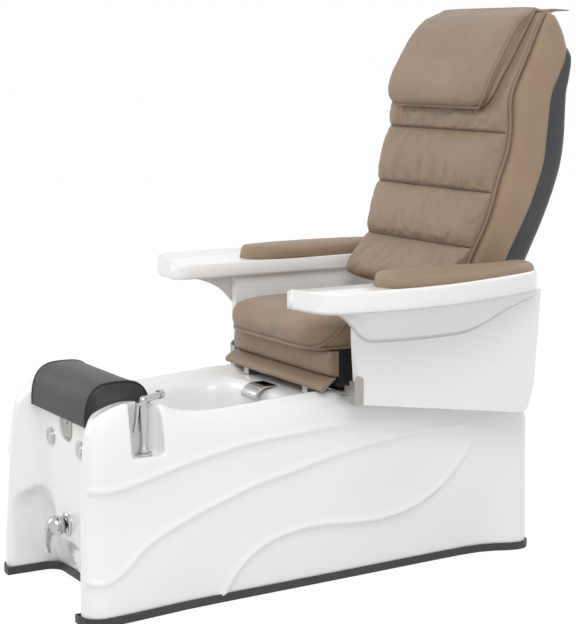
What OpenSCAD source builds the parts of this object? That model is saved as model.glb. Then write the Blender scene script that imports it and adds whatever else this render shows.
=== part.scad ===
// Pedicure chair: a moulded foot-bath base, a sliding seat with a reclining massage back,
// two swing-out arms with trays, a lift-up footrest pad and the bath's fittings.
// Frame: the sitter faces -Y, +X is the sitter's left hand, +Z is up, the floor is z = 0.

/* [Base] */
// Distance from the origin to the front of the feet
front_reach = 705; // [640:1:780]
// Length of the base at the floor
base_l = 1290; // [1200:1:1400]
// Width of the base across its upper walls
base_w = 500; // [470:1:560]
// Height of the front shoulders
base_h = 503; // [470:1:540]
// Wall thickness of the base moulding
shell_t = 12; // [6:0.5:14]
// Plan radius of the front corners
front_corner_r = 52; // [30:1:70]
// Plan radius of the rear corners
rear_corner_r = 45; // [25:1:60]
// Height of the raised wave lines on the sides
wave_rise = 6; // [2:0.5:10]
// Half width of one wave line
wave_half_w = 12; // [8:0.5:15]
// Height of the dark floor trim
trim_h = 20; // [12:1:30]
// Thickness of the floor trim
trim_t = 5; // [3:0.5:8]

/* [Front] */
// Depth of the front wall behind the feet
front_wall_depth = 68; // [40:1:85]
// Distance from the base's side to the flat front wall
wall_margin = 103; // [90:1:120]
// Distance from the base's side to the mouth of the front recess
mouth_margin = 14; // [5:1:25]
// Depth of the toe space at the floor
toe_depth = 134; // [100:1:145]
// Distance from the base's side to the toe space
toe_margin = 35; // [25:1:60]
// Height of each toe hollow
toe_hollow_h = 235; // [180:1:260]
// Half width of the middle pillar
pillar_half = 72; // [60:1:90]
// Distance from the base's side to the saddle that holds the footrest
saddle_margin = 78; // [70:1:100]
// Depth of the saddle below the shoulders
saddle_drop = 66; // [53:1:83]

/* [Basin] */
// Deck between the basin's opening and the seat
deck_gap = 17; // [10:1:60]
// Distance from the base's side to the basin's opening
basin_margin = 65; // [60:1:80]
// Distance from the front of the feet to the basin
basin_front = 230; // [225:1:250]
// Height of the basin's floor above the ground
basin_floor_z = 170; // [120:1:220]
// Wall thickness of the basin
basin_t = 6; // [4:0.5:10]
// Radius of the drain's hole
drain_r = 24; // [18:0.5:30]
// Radius of the jet's hole
jet_r = 34; // [26:0.5:40]

/* [Fittings] */
// Radius of the sprayer's pocket
pocket_r = 42; // [36:1:46]
// Depth of the pocket's ledge below the shoulders
pocket_drop = 127; // [113:1:143]
// Radius of the sprayer's stem
spray_stem_r = 9; // [7:0.5:11]
// Height of the sprayer's upright
spray_h = 129; // [118:1:135]
// Radius of a push button's cap
button_r = 15; // [12:0.5:18]
// Distance from each end of the flat front wall to its button
button_inset = 58; // [47:1:67]
// Depth of the buttons below the shoulders
button_drop = 131; // [118:1:153]
// Travel of a button
button_travel = 3; // [2:0.5:4]
// Height of the tap on the front wall
tap_z = 172; // [165:1:190]
// Radius of the tap's dome
tap_r = 25; // [20:0.5:28]
// Width of the waterfall spout
spout_w = 70; // [50:1:90]

/* [Footrest] */
// Gap between each end of the footrest pad and the saddle
pad_fit = 4; // [2:1:22]
// Depth of the footrest pad
pad_d = 168; // [150:1:172]
// Height of the footrest pad
pad_h = 101; // [90:1:115]
// Travel of the footrest
pad_lift = 60; // [40:1:80]

/* [Seat] */
// Distance from the base's side to the seat cushion
seat_margin = 18; // [15:1:30]
// Depth of the seat cushion
seat_d = 440; // [400:1:455]
// Thickness of the seat cushion
seat_t = 88; // [75:1:100]
// Height of the cushion's underside above the deck
seat_rise = 114; // [107:1:122]
// Gap between the seat cushion and the recline axis
seat_back_gap = 35; // [28:1:52]
// Travel of the seat
seat_travel = 150; // [100:5:160]

/* [Back] */
// Reach of each side of the back past the base's side
back_over = 12; // [0:1:15]
// Height of the recline axis above the deck
recline_rise = 149; // [137:1:157]
// Distance from the rear of the base to the recline axis
recline_back = 198; // [190:1:210]
// Height of the top of the back above the deck
back_rise = 937; // [897:1:987]
// Distance from the side of the back to the head pillow
pillow_margin = 42; // [27:1:62]

/* [Arms] */
// Height of the tray's upper face above the deck
tray_rise = 279; // [262:1:297]
// Distance from the base's side to the tray's inner edge
arm_gap = 22; // [20:1:30]
// Width of the tray
tray_w = 203; // [178:1:228]
// Thickness of the side panel
panel_t = 22; // [18:1:26]
// Length of the armrest pad
armpad_l = 470; // [430:1:480]
// Thickness of the armrest pad
armpad_t = 36; // [28:1:44]

/* [Hidden] */

// Overrun of every cut
over = 5;
// Gap between pieces that touch
seat_gap = 0.3;
// Radial running fit of pins and shafts
run_fit = 0.06;
// Sides of a round piece
round_n = 48;
front_y = -front_reach;
rear_y = front_y + base_l;
half_w = base_w / 2;
front_wall_half = half_w - wall_margin;
front_mouth_half = half_w - mouth_margin;
toe_half = half_w - toe_margin;
saddle_half = half_w - saddle_margin;
basin_w = base_w - 2 * basin_margin;
pad_w = 2 * (saddle_half - pad_fit);
recline_y = base_l - recline_back;
seat_front = recline_y - seat_back_gap - seat_d;
basin_l = seat_front - basin_front - deck_gap;
arm_inner = half_w + arm_gap;
arm_outer = arm_inner + tray_w;
// Front edge of the seat cushion
seat_line = front_y + seat_front;
saddle_z = base_h - saddle_drop;
pocket_z = base_h - pocket_drop;
button_z = base_h - button_drop;
deck_share = 0.92;
deck_top = base_h * deck_share;
seat_z = deck_top + seat_rise;
recline_z = deck_top + recline_rise;
back_top = deck_top + back_rise;
tray_z = deck_top + tray_rise;
button_x = front_wall_half - button_inset;
seat_w = base_w - 2 * seat_margin;
back_w = base_w + 2 * back_over;
pillow_w = back_w - 2 * pillow_margin;

// Helpers

function flat(l) = [for (a = l) for (b = a) b];
function mix(a, b, t) = a + (b - a) * t;
function limit(v, lo, hi) = min(max(v, lo), hi);
function ease(t) = let (u = limit(t, 0, 1)) u * u * (3 - 2 * u);
function seg(t, s, i = 0) = i >= len(t) - 2 || s < t[i + 1][0] ? i : seg(t, s, i + 1);
function slope(a, b) = (b[1] - a[1]) / (b[0] - a[0]);
// Smooth curve through the rows [place, value] of a table
function along(t, s) =
  let (i = seg(t, s), a = t[i], b = t[i + 1], w = b[0] - a[0])
  let (u = (limit(s, t[0][0], t[len(t) - 1][0]) - a[0]) / w)
  let (ma = w * slope(i > 0 ? t[i - 1] : a, b))
  let (mb = w * slope(a, i < len(t) - 2 ? t[i + 2] : b))
  (2 * u ^ 3 - 3 * u ^ 2 + 1) * a[1] + (u ^ 3 - 2 * u ^ 2 + u) * ma
  + (3 * u ^ 2 - 2 * u ^ 3) * b[1] + (u ^ 3 - u ^ 2) * mb;
function spow(v, e) = sign(v) * abs(v) ^ e;

function ring_area(r, i = 0) = i >= len(r) ? [0, 0, 0]
  : cross(r[i] - r[0], r[(i + 1) % len(r)] - r[0]) + ring_area(r, i + 1);
function quad(a, b, c, d) = [[a, b, c], [a, c, d]];

// Solid through a list of rings with the same count of points, each symmetric end to end
module loft(rings) {
  n = len(rings[0]);
  m = len(rings);
  e = (m - 1) * n;
  ahead = ring_area(rings[0]) * (rings[m - 1][0] - rings[0][0]) > 0;
  sides = [for (r = [0:m - 2]) for (i = [0:n - 1]) let (j = (i + 1) % n)
    each quad(r * n + j, r * n + i, (r + 1) * n + i, (r + 1) * n + j)];
  caps = [for (i = [0:ceil(n / 2) - 2]) let (a = i, b = i + 1, c = n - 2 - i, d = n - 1 - i)
    each concat(b == c ? [[a, b, d]] : quad(a, b, c, d),
      b == c ? [[e + d, e + b, e + a]] : quad(e + d, e + c, e + b, e + a))];
  faces = concat(sides, caps);
  polyhedron(points = flat(rings), convexity = 8,
    faces = ahead ? faces : [for (f = faces) [f[2], f[1], f[0]]]);
}

// Keeps a smooth moulding and its cuts as one mesh
module moulding() {
  resize([0, 0, 0]) children();
}

// Copies a left-hand piece to the right-hand side as well
module both() {
  children();
  mirror([1, 0, 0]) children();
}

// Extrudes a side profile, given as [y, z], across the chair from x = a to x = b
module across(a, b) {
  translate([a, 0, 0]) rotate([90, 0, 90]) linear_extrude(b - a) children();
}

module rod(r, h) {
  cylinder(r = r, h = h, $fn = round_n);
}

module box(x, y, z) {
  translate([x[0], y[0], z[0]]) cube([x[1] - x[0], y[1] - y[0], z[1] - z[0]]);
}

// Base moulding

// Stations along the base, as shares of its length from the front
base_station_shares = [0, 0.004, 0.01, 0.018, 0.03, 0.048, 0.075, 0.11, 0.145, 0.175, 0.205,
  0.24, 0.28, 0.315, 0.345, 0.38, 0.42, 0.46, 0.505, 0.56, 0.62, 0.67, 0.715, 0.755, 0.79,
  0.815, 0.835, 0.855, 0.885, 0.915, 0.94, 0.96, 0.978, 0.99, 1];
// Height of the rolled rim, as shares of the base's height
crest_shares = [[0, 0.17], [0.004, 0.42], [0.01, 0.66], [0.018, 0.84], [0.03, 0.915],
  [0.048, 0.958], [0.08, 0.99], [0.115, 1], [0.16, 0.982], [0.182, 0.958], [0.205, 0.938],
  [0.265, 0.924], [0.335, 0.932], [0.42, 0.948], [0.46, 0.953], [0.55, 0.948],
  [0.7, 0.93], [0.84, 0.922], [0.9, 0.86], [0.97, 0.79], [0.99, 0.75], [1, 0.7]];
// Height of the deck inside the rim
deck_shares = [[0, 0.16], [0.004, 0.41], [0.01, 0.65], [0.018, 0.83], [0.03, 0.905],
  [0.048, 0.948], [0.08, 0.98], [0.115, 0.99], [0.16, 0.965], [0.182, 0.935], [0.205, 0.91],
  [0.235, 0.896], [0.295, 0.885], [0.37, 0.881], [0.43, 0.884], [0.46, 0.902], [0.49, 0.914],
  [0.54, 0.92], [0.55, 0.92], [0.8, 0.92], [0.81, 0.92], [0.84, 0.915],
  [0.9, 0.86], [0.97, 0.79], [0.99, 0.745],
  [1, 0.69]];
// Height where the side wall turns into the rim
edge_shares = [[0, 0.12], [0.004, 0.3], [0.01, 0.48], [0.018, 0.6], [0.03, 0.655],
  [0.048, 0.69], [0.08, 0.722], [0.165, 0.73], [0.23, 0.752], [0.335, 0.782],
  [0.44, 0.812], [0.51, 0.845], [0.57, 0.855], [0.7, 0.84], [0.82, 0.79], [0.9, 0.76],
  [0.97, 0.7], [0.99, 0.66], [1, 0.62]];
// Half width of the base at the floor, as shares of its upper half width
floor_half_shares = [[0, 1.125], [0.08, 1.085], [0.16, 1.035], [0.22, 1], [0.55, 0.91],
  [0.83, 0.83], [0.885, 0.84], [0.92, 0.89], [0.95, 0.955], [0.975, 0.965], [1, 0.95]];
// Half width of the base at its upper wall
wall_half_shares = [[0, 1.03], [0.08, 1.02], [0.22, 1], [0.55, 0.985], [0.85, 0.95], [1, 0.93]];
// The three wave lines on each side, as heights
wave_top_shares = [[0, 0.63], [0.05, 0.618], [0.11, 0.642], [0.17, 0.68], [0.25, 0.724],
  [0.33, 0.757], [0.42, 0.773], [0.5, 0.785], [0.58, 0.785], [0.67, 0.771], [0.8, 0.755],
  [0.9, 0.7], [1, 0.6]];
wave_mid_shares = [[0, 0.207], [0.035, 0.2], [0.075, 0.245], [0.115, 0.33], [0.16, 0.39],
  [0.23, 0.458], [0.29, 0.508], [0.35, 0.556], [0.42, 0.59], [0.49, 0.632], [0.58, 0.668],
  [0.7, 0.7], [0.79, 0.704], [0.85, 0.7], [0.9, 0.64], [1, 0.52]];
wave_low_shares = [[0, 0.06], [0.28, 0.06], [0.3, 0.115], [0.33, 0.195], [0.37, 0.255],
  [0.42, 0.292], [0.49, 0.306], [0.56, 0.29], [0.63, 0.287], [0.685, 0.308], [0.74, 0.362],
  [0.783, 0.44], [0.816, 0.53], [0.84, 0.6], [0.855, 0.64], [0.9, 0.58], [1, 0.44]];
// How strongly each wave line stands out, from 0 to 1
wave_top_strength_shares = [[0, 1], [0.6, 1], [0.7, 0.1], [1, 0]];
wave_mid_strength_shares = [[0, 1], [0.8, 1], [0.87, 0.1], [1, 0]];
wave_low_strength_shares = [[0, 0], [0.28, 0], [0.31, 1], [0.83, 1], [0.87, 0.1], [1, 0]];
// Width of the rim's roll, from its outer wall to its inner edge
rim_roll_w = 66;
// Share of the roll at which the crest lies
rim_crest_share = 0.5;
// Least spacing of the wave lines' rows
row_gap = 4;

function corner_cut(d, r) = d >= r ? 0 : r - sqrt(r * r - (r - max(d, 0)) ^ 2);
function plan_cut(s) = corner_cut(s * base_l, front_corner_r)
  + corner_cut((1 - s) * base_l, rear_corner_r);
function floor_half(s) = half_w * along(floor_half_shares, s) - plan_cut(s);
function wall_half(s) = half_w * along(wall_half_shares, s) - plan_cut(s);
function crest_z(s) = base_h * along(crest_shares, s);
function deck_z(s) = base_h * along(deck_shares, s);
function station_y(s) = front_y + s * base_l;
function share_at(y) = (y - front_y) / base_l;

// Outer wall's distance from the middle at a height, without the waves
function side_x(s, z) = mix(floor_half(s), wall_half(s), ease(z / (base_h * 0.55)));

function wave_rows(s) =
  let (top = base_h * along(wave_top_shares, s), mid = base_h * along(wave_mid_shares, s))
  let (low = base_h * along(wave_low_shares, s), w = wave_half_w)
  let (k = min(1, along(crest_shares, s) / 0.95))
  let (z3 = limit(low, trim_h + w + row_gap, mid - 2 * w - 2 * row_gap))
  let (z2 = limit(mid, z3 + 2 * w + row_gap, top - 2 * w - row_gap))
  [for (r = [[0, 0], [z3 - w, 0], [z3, along(wave_low_strength_shares, s)],
    [z3 + w, 0], [z2 - w, 0], [z2, along(wave_mid_strength_shares, s)],
    [z2 + w, 0], [top - w, 0], [top, along(wave_top_strength_shares, s)],
    [top + w, 0]]) [mix(trim_h / 2, max(r[0], trim_h / 2), k), r[1]]];

// One side of a cross-section, from the floor up and in to the deck, as [x, z]
function half_section(s, inset = 0) =
  let (rows = wave_rows(s), last = rows[len(rows) - 1][0])
  let (edge = max(base_h * along(edge_shares, s), last + row_gap))
  let (crest = max(crest_z(s), edge + row_gap), roll = min(rim_roll_w, wall_half(s) / 2))
  let (w = wall_half(s) - inset, out = roll * rim_crest_share)
  let (kept = inset > 0 ? [rows[0], rows[4], rows[7]] : rows)
  let (side = [for (r = kept) [side_x(s, r[0]) - inset + (inset > 0 ? 0 : wave_rise * r[1]),
    inset > 0 && r == kept[0] ? -over : r[0]]])
  let (turn = [for (a = inset > 0 ? [0, 45, 90] : [0, 22.5, 45, 67.5, 90])
    [w - out * (1 - cos(a)), mix(edge, crest, sin(a)) - inset]])
  let (inner = [[w - mix(out, roll, 0.6), mix(crest, deck_z(s), 0.45) - inset],
    [w - roll, min(deck_z(s), crest) - inset]])
  concat(side, turn, inner);

function section_ring(s, inset = 0) =
  let (h = half_section(s, inset), y = station_y(s), n = len(h))
  concat([for (p = h) [p[0], y, p[1]]], [for (i = [n - 1:-1:0]) [-h[i][0], y, h[i][1]]]);

// The base's outline on the floor
module floor_shape() {
  rows = [for (s = base_station_shares) [floor_half(s), station_y(s)]];
  n = len(rows);
  difference() {
    polygon(concat(rows, [for (i = [n - 1:-1:0]) [-rows[i][0], rows[i][1]]]));
    toe_plan();
  }
}

// Toe space in plan: square with rounded inner corners
toe_corner_r = 40;
module toe_plan() {
  y_in = front_y + toe_depth;
  polygon([[-toe_half, front_y - over], [toe_half, front_y - over],
    for (a = [0:15:90]) [toe_half - toe_corner_r * (1 - cos(a)),
      y_in - toe_corner_r * (1 - sin(a))],
    for (a = [90:-15:0]) [-toe_half + toe_corner_r * (1 - cos(a)),
      y_in - toe_corner_r * (1 - sin(a))]]);
}

// Plan of the hollow between the two feet, seen from above
module front_recess_plan() {
  steps_share = [for (i = [0:10]) i / 10];
  y_wall = front_y + front_wall_depth;
  curve = [for (t = steps_share) [mix(front_mouth_half, front_wall_half, t),
    mix(front_y, y_wall, ease(t))]];
  polygon(concat([[front_mouth_half, front_y - over]], curve,
    [for (i = [len(curve) - 1:-1:0]) [-curve[i][0], curve[i][1]]],
    [[-front_mouth_half, front_y - over]]));
}

// The lean of the front wall towards the floor, as [share of depth, share of height]
toe_lean_shares = [[1, 0], [0.98, 0.12], [0.93, 0.28], [0.85, 0.46], [0.75, 0.64],
  [0.64, 0.82], [0.5, 1]];
lean_h = 134;
module toe_lean() {
  across(-toe_half, toe_half)
    polygon(concat([[front_y - over, -over], [front_y + toe_depth, -over]],
      [for (p = toe_lean_shares) [front_y + toe_depth * p[0], lean_h * p[1]]],
      [[front_y - over, lean_h]]));
}

// An arch-topped hollow beside the middle pillar, deepest at the floor
module toe_hollow() {
  half = (toe_half - pillar_half) / 2;
  mid = (toe_half + pillar_half) / 2;
  spring = toe_hollow_h - half;
  y_wall = front_y + front_wall_depth;
  hull() {
    translate([0, y_wall + seat_gap, 0]) rotate([90, 0, 0]) linear_extrude(over)
      polygon(concat([[mid - half, -over], [mid + half, -over]],
        [for (a = [0:12:180]) [mid + half * cos(a), spring + half * sin(a)]]));
    box([mid - half * 0.8, mid + half * 0.8], [y_wall, front_y + toe_depth],
      [-over, spring * 0.3]);
    box([mid - half * 0.4, mid + half * 0.4], [y_wall, mix(y_wall, front_y + toe_depth, 0.6)],
      [-over, spring]);
  }
}

notch_half = 36;
notch_depth = 18;
notch_drop = 62;
notch_z = saddle_z - notch_drop;
module bracket_notch() {
  y_wall = front_y + front_wall_depth;
  translate([0, y_wall + notch_depth, 0]) rotate([90, 0, 0])
    linear_extrude(notch_depth + front_wall_depth) {
      translate([0, notch_z + notch_half]) circle(r = notch_half, $fn = round_n);
      translate([-notch_half, notch_z + notch_half])
        square([2 * notch_half, base_h - notch_z]);
    }
}

// The basin's opening in plan, grown or shrunk by g
basin_power_share = 0.42;
basin_mid_y = front_y + basin_front + basin_l / 2;
function basin_point(a, g) = [(basin_w / 2 + g) * spow(cos(a), basin_power_share),
  basin_mid_y + (basin_l / 2 + g) * spow(sin(a), basin_power_share)];
basin_n = 40;
basin_angles = [for (i = [0:basin_n - 1]) 360 * (i + 0.5) / basin_n];

module sprayer_pocket() {
  translate([spray_x + pocket_shift, spray_y, pocket_z])
    rod(pocket_r, base_h);
}

// Space behind the front wall for the tap, the buttons and the footrest's guide
bay_half = 128;
bay_reach = 158;
bay_back_y = front_y + bay_reach;
bay_wall = 9;
module fittings_bay() {
  y0 = front_y + front_wall_depth + notch_depth + bay_wall;
  box([-bay_half, bay_half], [y0, bay_back_y], [toe_hollow_h + bay_wall, saddle_z - shell_t]);
  box([-pillar_half + bay_wall, pillar_half - bay_wall], [y0, bay_back_y],
    [tap_z - tap_r - bay_wall, saddle_z - shell_t]);
}

cavity_reach = 148;
cavity_front_share = cavity_reach / base_l;
module base_shell() {
  inner_shares = concat([cavity_front_share], [for (s = [0.17:0.07:0.94]) s], [0.985]);
  saddle_back = front_y + basin_front - shell_t;
  color("white") moulding() difference() {
    loft([for (s = base_station_shares) section_ring(s)]);
    loft([for (s = inner_shares) section_ring(s, shell_t)]);
    translate([0, 0, -over]) linear_extrude(base_h + 2 * over) front_recess_plan();
    translate([0, 0, -over]) linear_extrude(trim_h + over) toe_plan();
    toe_lean();
    both() toe_hollow();
    bracket_notch();
    fittings_bay();
    box([-saddle_half, saddle_half], [front_y - over, saddle_back], [saddle_z, base_h + over]);
    translate([0, 0, basin_floor_z]) linear_extrude(base_h)
      polygon([for (a = basin_angles) basin_point(a, seat_gap)]);
    sprayer_pocket();
    translate([spray_x, spray_y, pocket_z - 2 * shell_t])
      rod(collar_stem_r + seat_gap, base_h);
    both() translate([button_x, front_y, button_z]) rotate([-90, 0, 0])
      rod(button_barrel_r + seat_gap, basin_front / 2);
    translate([0, front_y, tap_z]) rotate([-90, 0, 0])
      rod(tap_neck_r + seat_gap, basin_front / 2);
    box([-guide_half - seat_gap, guide_half + seat_gap],
      [guide_y - guide_half - seat_gap, guide_y + guide_half + seat_gap],
      [saddle_z - 2 * shell_t, base_h]);
    both() box([post_x - post_w / 2 - seat_gap, post_x + post_w / 2 + seat_gap],
      [hinge_y - post_w / 2 - seat_gap, hinge_y + post_w / 2 + seat_gap], [frame_z, base_h]);
  }
}

trim_fit = 1.6;
module base_trim() {
  color("#3a3a3d") difference() {
    linear_extrude(trim_h) offset(delta = trim_t) floor_shape();
    translate([0, 0, trim_h / 2 - seat_gap]) linear_extrude(trim_h)
      offset(delta = trim_fit) floor_shape();
    translate([0, 0, -over]) linear_extrude(trim_h + over) offset(delta = -shell_t) floor_shape();
  }
}

// Foot bath

// Wall of the basin from its rim to its floor, as [share of depth, inset as a share of width]
basin_wall_shares = [[0, 0], [0.03, 0.004], [0.08, 0.014], [0.2, 0.028], [0.45, 0.046],
  [0.7, 0.07], [0.86, 0.105], [0.95, 0.155], [1, 0.24]];
function basin_ring(p, grow, lift) = [for (a = basin_angles)
  let (q = basin_point(a, -basin_min * p[1] + grow))
  let (rim = deck_z(share_at(q[1])))
  [q[0], q[1], mix(rim + (p[0] == 0 ? lift : 0), basin_floor_z + lift, p[0])]];
basin_rows = len(basin_wall_shares);
basin_min = min(basin_w, basin_l);

module basin() {
  color("white") moulding() difference() {
    union() {
      difference() {
        loft([for (i = [basin_rows - 1:-1:0]) basin_ring(basin_wall_shares[i], 0, 0)]);
        loft([for (i = [basin_rows - 1:-1:0])
          basin_ring(basin_wall_shares[i], -basin_t, basin_t)]);
      }
      translate([0, jet_y + seat_gap, jet_z]) rotate([-90, 0, 0])
        rod(jet_flange_r + basin_t / 2, 4 * basin_t);
    }
    translate([0, basin_mid_y, basin_floor_z - over])
      rod(drain_r, 4 * basin_t);
    translate([0, jet_y - jet_r, jet_z]) rotate([-90, 0, 0])
      rod(jet_r, 3 * jet_r);
  }
}

strainer_flange_r = 34;
strainer_t = 4;
strainer_hole_r = 4;
module drain_strainer() {
  color("silver") translate([0, basin_mid_y, 0]) difference() {
    union() {
      translate([0, 0, basin_floor_z + basin_t + seat_gap])
        rod(strainer_flange_r, strainer_t);
      translate([0, 0, basin_floor_z - 2 * strainer_t])
        rod(drain_r - seat_gap, basin_t + 3 * strainer_t);
    }
    translate([0, 0, basin_floor_z - 3 * strainer_t])
      rod(drain_r - strainer_t, basin_t + 3 * strainer_t);
    for (i = [0:5]) rotate(60 * i) translate([drain_r / 2, 0, basin_floor_z])
      rod(strainer_hole_r, basin_t + 3 * strainer_t);
    translate([0, 0, basin_floor_z])
      rod(strainer_hole_r, basin_t + 3 * strainer_t);
  }
}

drain_pipe_r = 20;
drain_bend_r = 40;
drain_run_z = 88;
drain_short = 115;
drain_end_y = rear_y - drain_short;
module drain_pipe() {
  top = basin_floor_z - 2 * strainer_t - seat_gap;
  color("#d8d8d8") difference() {
    union() {
      translate([0, basin_mid_y, drain_run_z + drain_bend_r])
        rod(drain_pipe_r, top - drain_run_z - drain_bend_r);
      translate([0, basin_mid_y + drain_bend_r, drain_run_z + drain_bend_r])
        rotate([0, 90, 0]) rotate([0, 0, -90]) rotate_extrude(angle = 90, $fn = round_n)
          translate([drain_bend_r, 0]) circle(r = drain_pipe_r, $fn = round_n);
      translate([0, basin_mid_y + drain_bend_r, drain_run_z]) rotate([-90, 0, 0])
        rod(drain_pipe_r, drain_end_y - basin_mid_y - drain_bend_r);
    }
    translate([0, drain_end_y - drain_bend_r, drain_run_z]) rotate([-90, 0, 0])
      rod(drain_pipe_r - strainer_t, 2 * drain_bend_r);
  }
}

jet_z = 268;
jet_margin = 9.7;
jet_flange_r = 44;
jet_rim_z = deck_z(share_at(front_y + basin_front + basin_l));
jet_low_share = (jet_rim_z - jet_z + jet_flange_r) / (jet_rim_z - basin_floor_z);
jet_inset = jet_margin + basin_min * along(basin_wall_shares, jet_low_share);
jet_y = front_y + basin_front + basin_l - jet_inset;
jet_flange_t = 5;
jet_cup_l = 52;
jet_wall = 5;
jet_motor_l = 58;
jet_axle_r = 3;
jet_blade_t = 2.5;
impeller_l = 18;
module jet_housing() {
  color("#e8e8ea") translate([0, jet_y, jet_z]) rotate([-90, 0, 0]) {
    difference() {
      union() {
        translate([0, 0, -jet_flange_t]) rod(jet_flange_r, jet_flange_t);
        rod(jet_r - seat_gap, jet_cup_l);
        translate([0, 0, jet_cup_l]) rod(jet_r + jet_wall, jet_motor_l);
      }
      translate([0, 0, -jet_flange_t - over])
        rod(jet_r - jet_wall, jet_cup_l + over);
    }
    translate([0, 0, jet_wall]) rod(jet_axle_r, jet_cup_l - jet_wall);
  }
}

module jet_impeller() {
  reach = jet_r - 2 * jet_wall;
  color("#9aa0a6") translate([0, jet_y, jet_z]) rotate([-90, 0, 0])
    translate([0, 0, 2 * jet_wall]) difference() {
      union() {
        rod(3 * jet_axle_r, impeller_l);
        for (i = [0:4]) rotate(72 * i) translate([jet_axle_r + jet_blade_t, 0, 0])
          rotate([30, 0, 0]) translate([0, -jet_blade_t / 2, 0])
            cube([reach - 2 * jet_axle_r, jet_blade_t, impeller_l]);
      }
      translate([0, 0, -over]) rod(jet_axle_r + run_fit, impeller_l + 2 * over);
    }
}

jet_cover_t = 6;
jet_slot_r = 4;
module jet_cover() {
  color("white") translate([0, jet_y - jet_flange_t - seat_gap, jet_z]) rotate([90, 0, 0])
    difference() {
      rod(jet_flange_r, jet_cover_t);
      for (ring = [1, 2]) for (i = [0:6 * ring - 1]) rotate(60 / ring * i)
        translate([ring * jet_r * 0.38, 0, -over])
          rod(jet_slot_r, jet_cover_t + 2 * over);
    }
}

spout_t = 4;
spout_seat_l = 30;
spout_reach = 34;
spout_drop = 32;
module waterfall_spout() {
  y0 = front_y + basin_front + basin_l;
  z0 = max([for (k = [0:0.25:1]) deck_z(share_at(y0 + k * spout_seat_l))]) + seat_gap;
  top = [for (t = [0:0.125:1]) [y0 - spout_reach * sin(90 * t), z0 - spout_drop * (1 - cos(90 * t))]];
  color("silver") across(-spout_w / 2, spout_w / 2)
    polygon(concat([[y0 + spout_seat_l, z0], [y0 + spout_seat_l, z0 + spout_t]],
      [for (p = top) [p[0] - spout_t / 2, p[1] + spout_t]],
      [for (i = [len(top) - 1:-1:0]) [top[i][0] + spout_t, top[i][1]]]));
}

// Hand sprayer

spray_inset = 25;
spray_x = half_w - spray_inset;
spray_reach = 167;
spray_y = front_y + spray_reach;
pocket_shift = 18;
collar_stem_r = 14;
collar_flange_r = 20;
collar_flange_t = 6;
module sprayer_collar() {
  color("silver") translate([spray_x, spray_y, pocket_z + seat_gap]) difference() {
    union() {
      rod(collar_flange_r, collar_flange_t);
      translate([0, 0, -shell_t]) rod(collar_stem_r, shell_t);
    }
    translate([0, 0, -shell_t - over]) rod(spray_stem_r + run_fit,
      2 * shell_t + collar_flange_t + 2 * over);
  }
}

spray_neck_r = 11;
spray_head_l = 62;
spray_head_turn = 20;
spray_nozzle_r = 11;
spray_tilt = 6;
spray_pin_r = 2;
module spray_head_at() {
  translate([spray_x, spray_y, pocket_z + spray_h]) rotate([spray_tilt, 0, spray_head_turn])
    rotate([-90, 0, 0]) children();
}
module sprayer_body() {
  z0 = pocket_z + collar_flange_t + 2 * seat_gap;
  grip_r = spray_neck_r * 1.1;
  color("silver") difference() {
    union() {
      translate([spray_x, spray_y, pocket_z - shell_t]) rod(spray_stem_r,
        shell_t + 2 * collar_flange_t);
      translate([spray_x, spray_y, z0]) rotate_extrude($fn = round_n) polygon([[0, 0],
        [grip_r, 0], [grip_r, spray_h * 0.06], [spray_stem_r, spray_h * 0.12],
        [spray_stem_r * 1.05, spray_h * 0.3], [spray_neck_r, spray_h * 0.45],
        [grip_r, spray_h * 0.62], [spray_neck_r, spray_h * 0.8],
        [spray_stem_r, spray_h * 0.94], [0, spray_h * 0.94]]);
      translate([spray_x, spray_y, pocket_z + spray_h]) sphere(r = spray_stem_r * 1.1,
        $fn = round_n);
      for (x = [spray_x - lever_w / 2 - seat_gap - ear_w, spray_x + lever_w / 2 + seat_gap]) {
        box([x, x + ear_w], [lever_y, spray_y],
          [lever_pin_z - 2 * spray_pin_r, lever_pin_z + 2 * spray_pin_r]);
        translate([x, lever_y, lever_pin_z]) rotate([0, 90, 0])
          rod(2 * spray_pin_r, ear_w);
      }
      spray_head_at() {
        rod(spray_stem_r * 0.9, spray_head_l);
        translate([0, 0, spray_head_l - spray_nozzle_r])
          rod(spray_nozzle_r, spray_nozzle_r);
      }
    }
    translate([spray_x - lever_w, lever_y, lever_pin_z]) rotate([0, 90, 0])
      rod(spray_pin_r + run_fit, 2 * lever_w);
  }
}

lever_w = 10;
lever_t = 3;
ear_w = 2.5;
lever_y = spray_y - spray_neck_r - lever_t;
lever_pin_z = pocket_z + spray_h * 0.95;
module sprayer_lever() {
  y_in = spray_y - spray_neck_r * 1.1 - seat_gap;
  color("silver") {
    across(spray_x - lever_w / 2, spray_x + lever_w / 2)
      polygon([[y_in, lever_pin_z + lever_t * 0.5], [lever_y - lever_t, lever_pin_z + lever_t],
        [y_in - 2.2 * lever_t, lever_pin_z - spray_h * 0.1],
        [y_in - lever_t * 2.9, lever_pin_z - spray_h * 0.3],
        [y_in - lever_t * 4.6, lever_pin_z - spray_h * 0.52],
        [y_in - lever_t * 3.8, lever_pin_z - spray_h * 0.54],
        [y_in - lever_t * 1.7, lever_pin_z - spray_h * 0.32],
        [y_in - lever_t * 0.2, lever_pin_z - spray_h * 0.12]]);
    translate([spray_x - lever_w / 2 - seat_gap - ear_w, lever_y, lever_pin_z])
      rotate([0, 90, 0]) rod(spray_pin_r, lever_w + 2 * (seat_gap + ear_w));
  }
}

// Tap on the front wall

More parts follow.
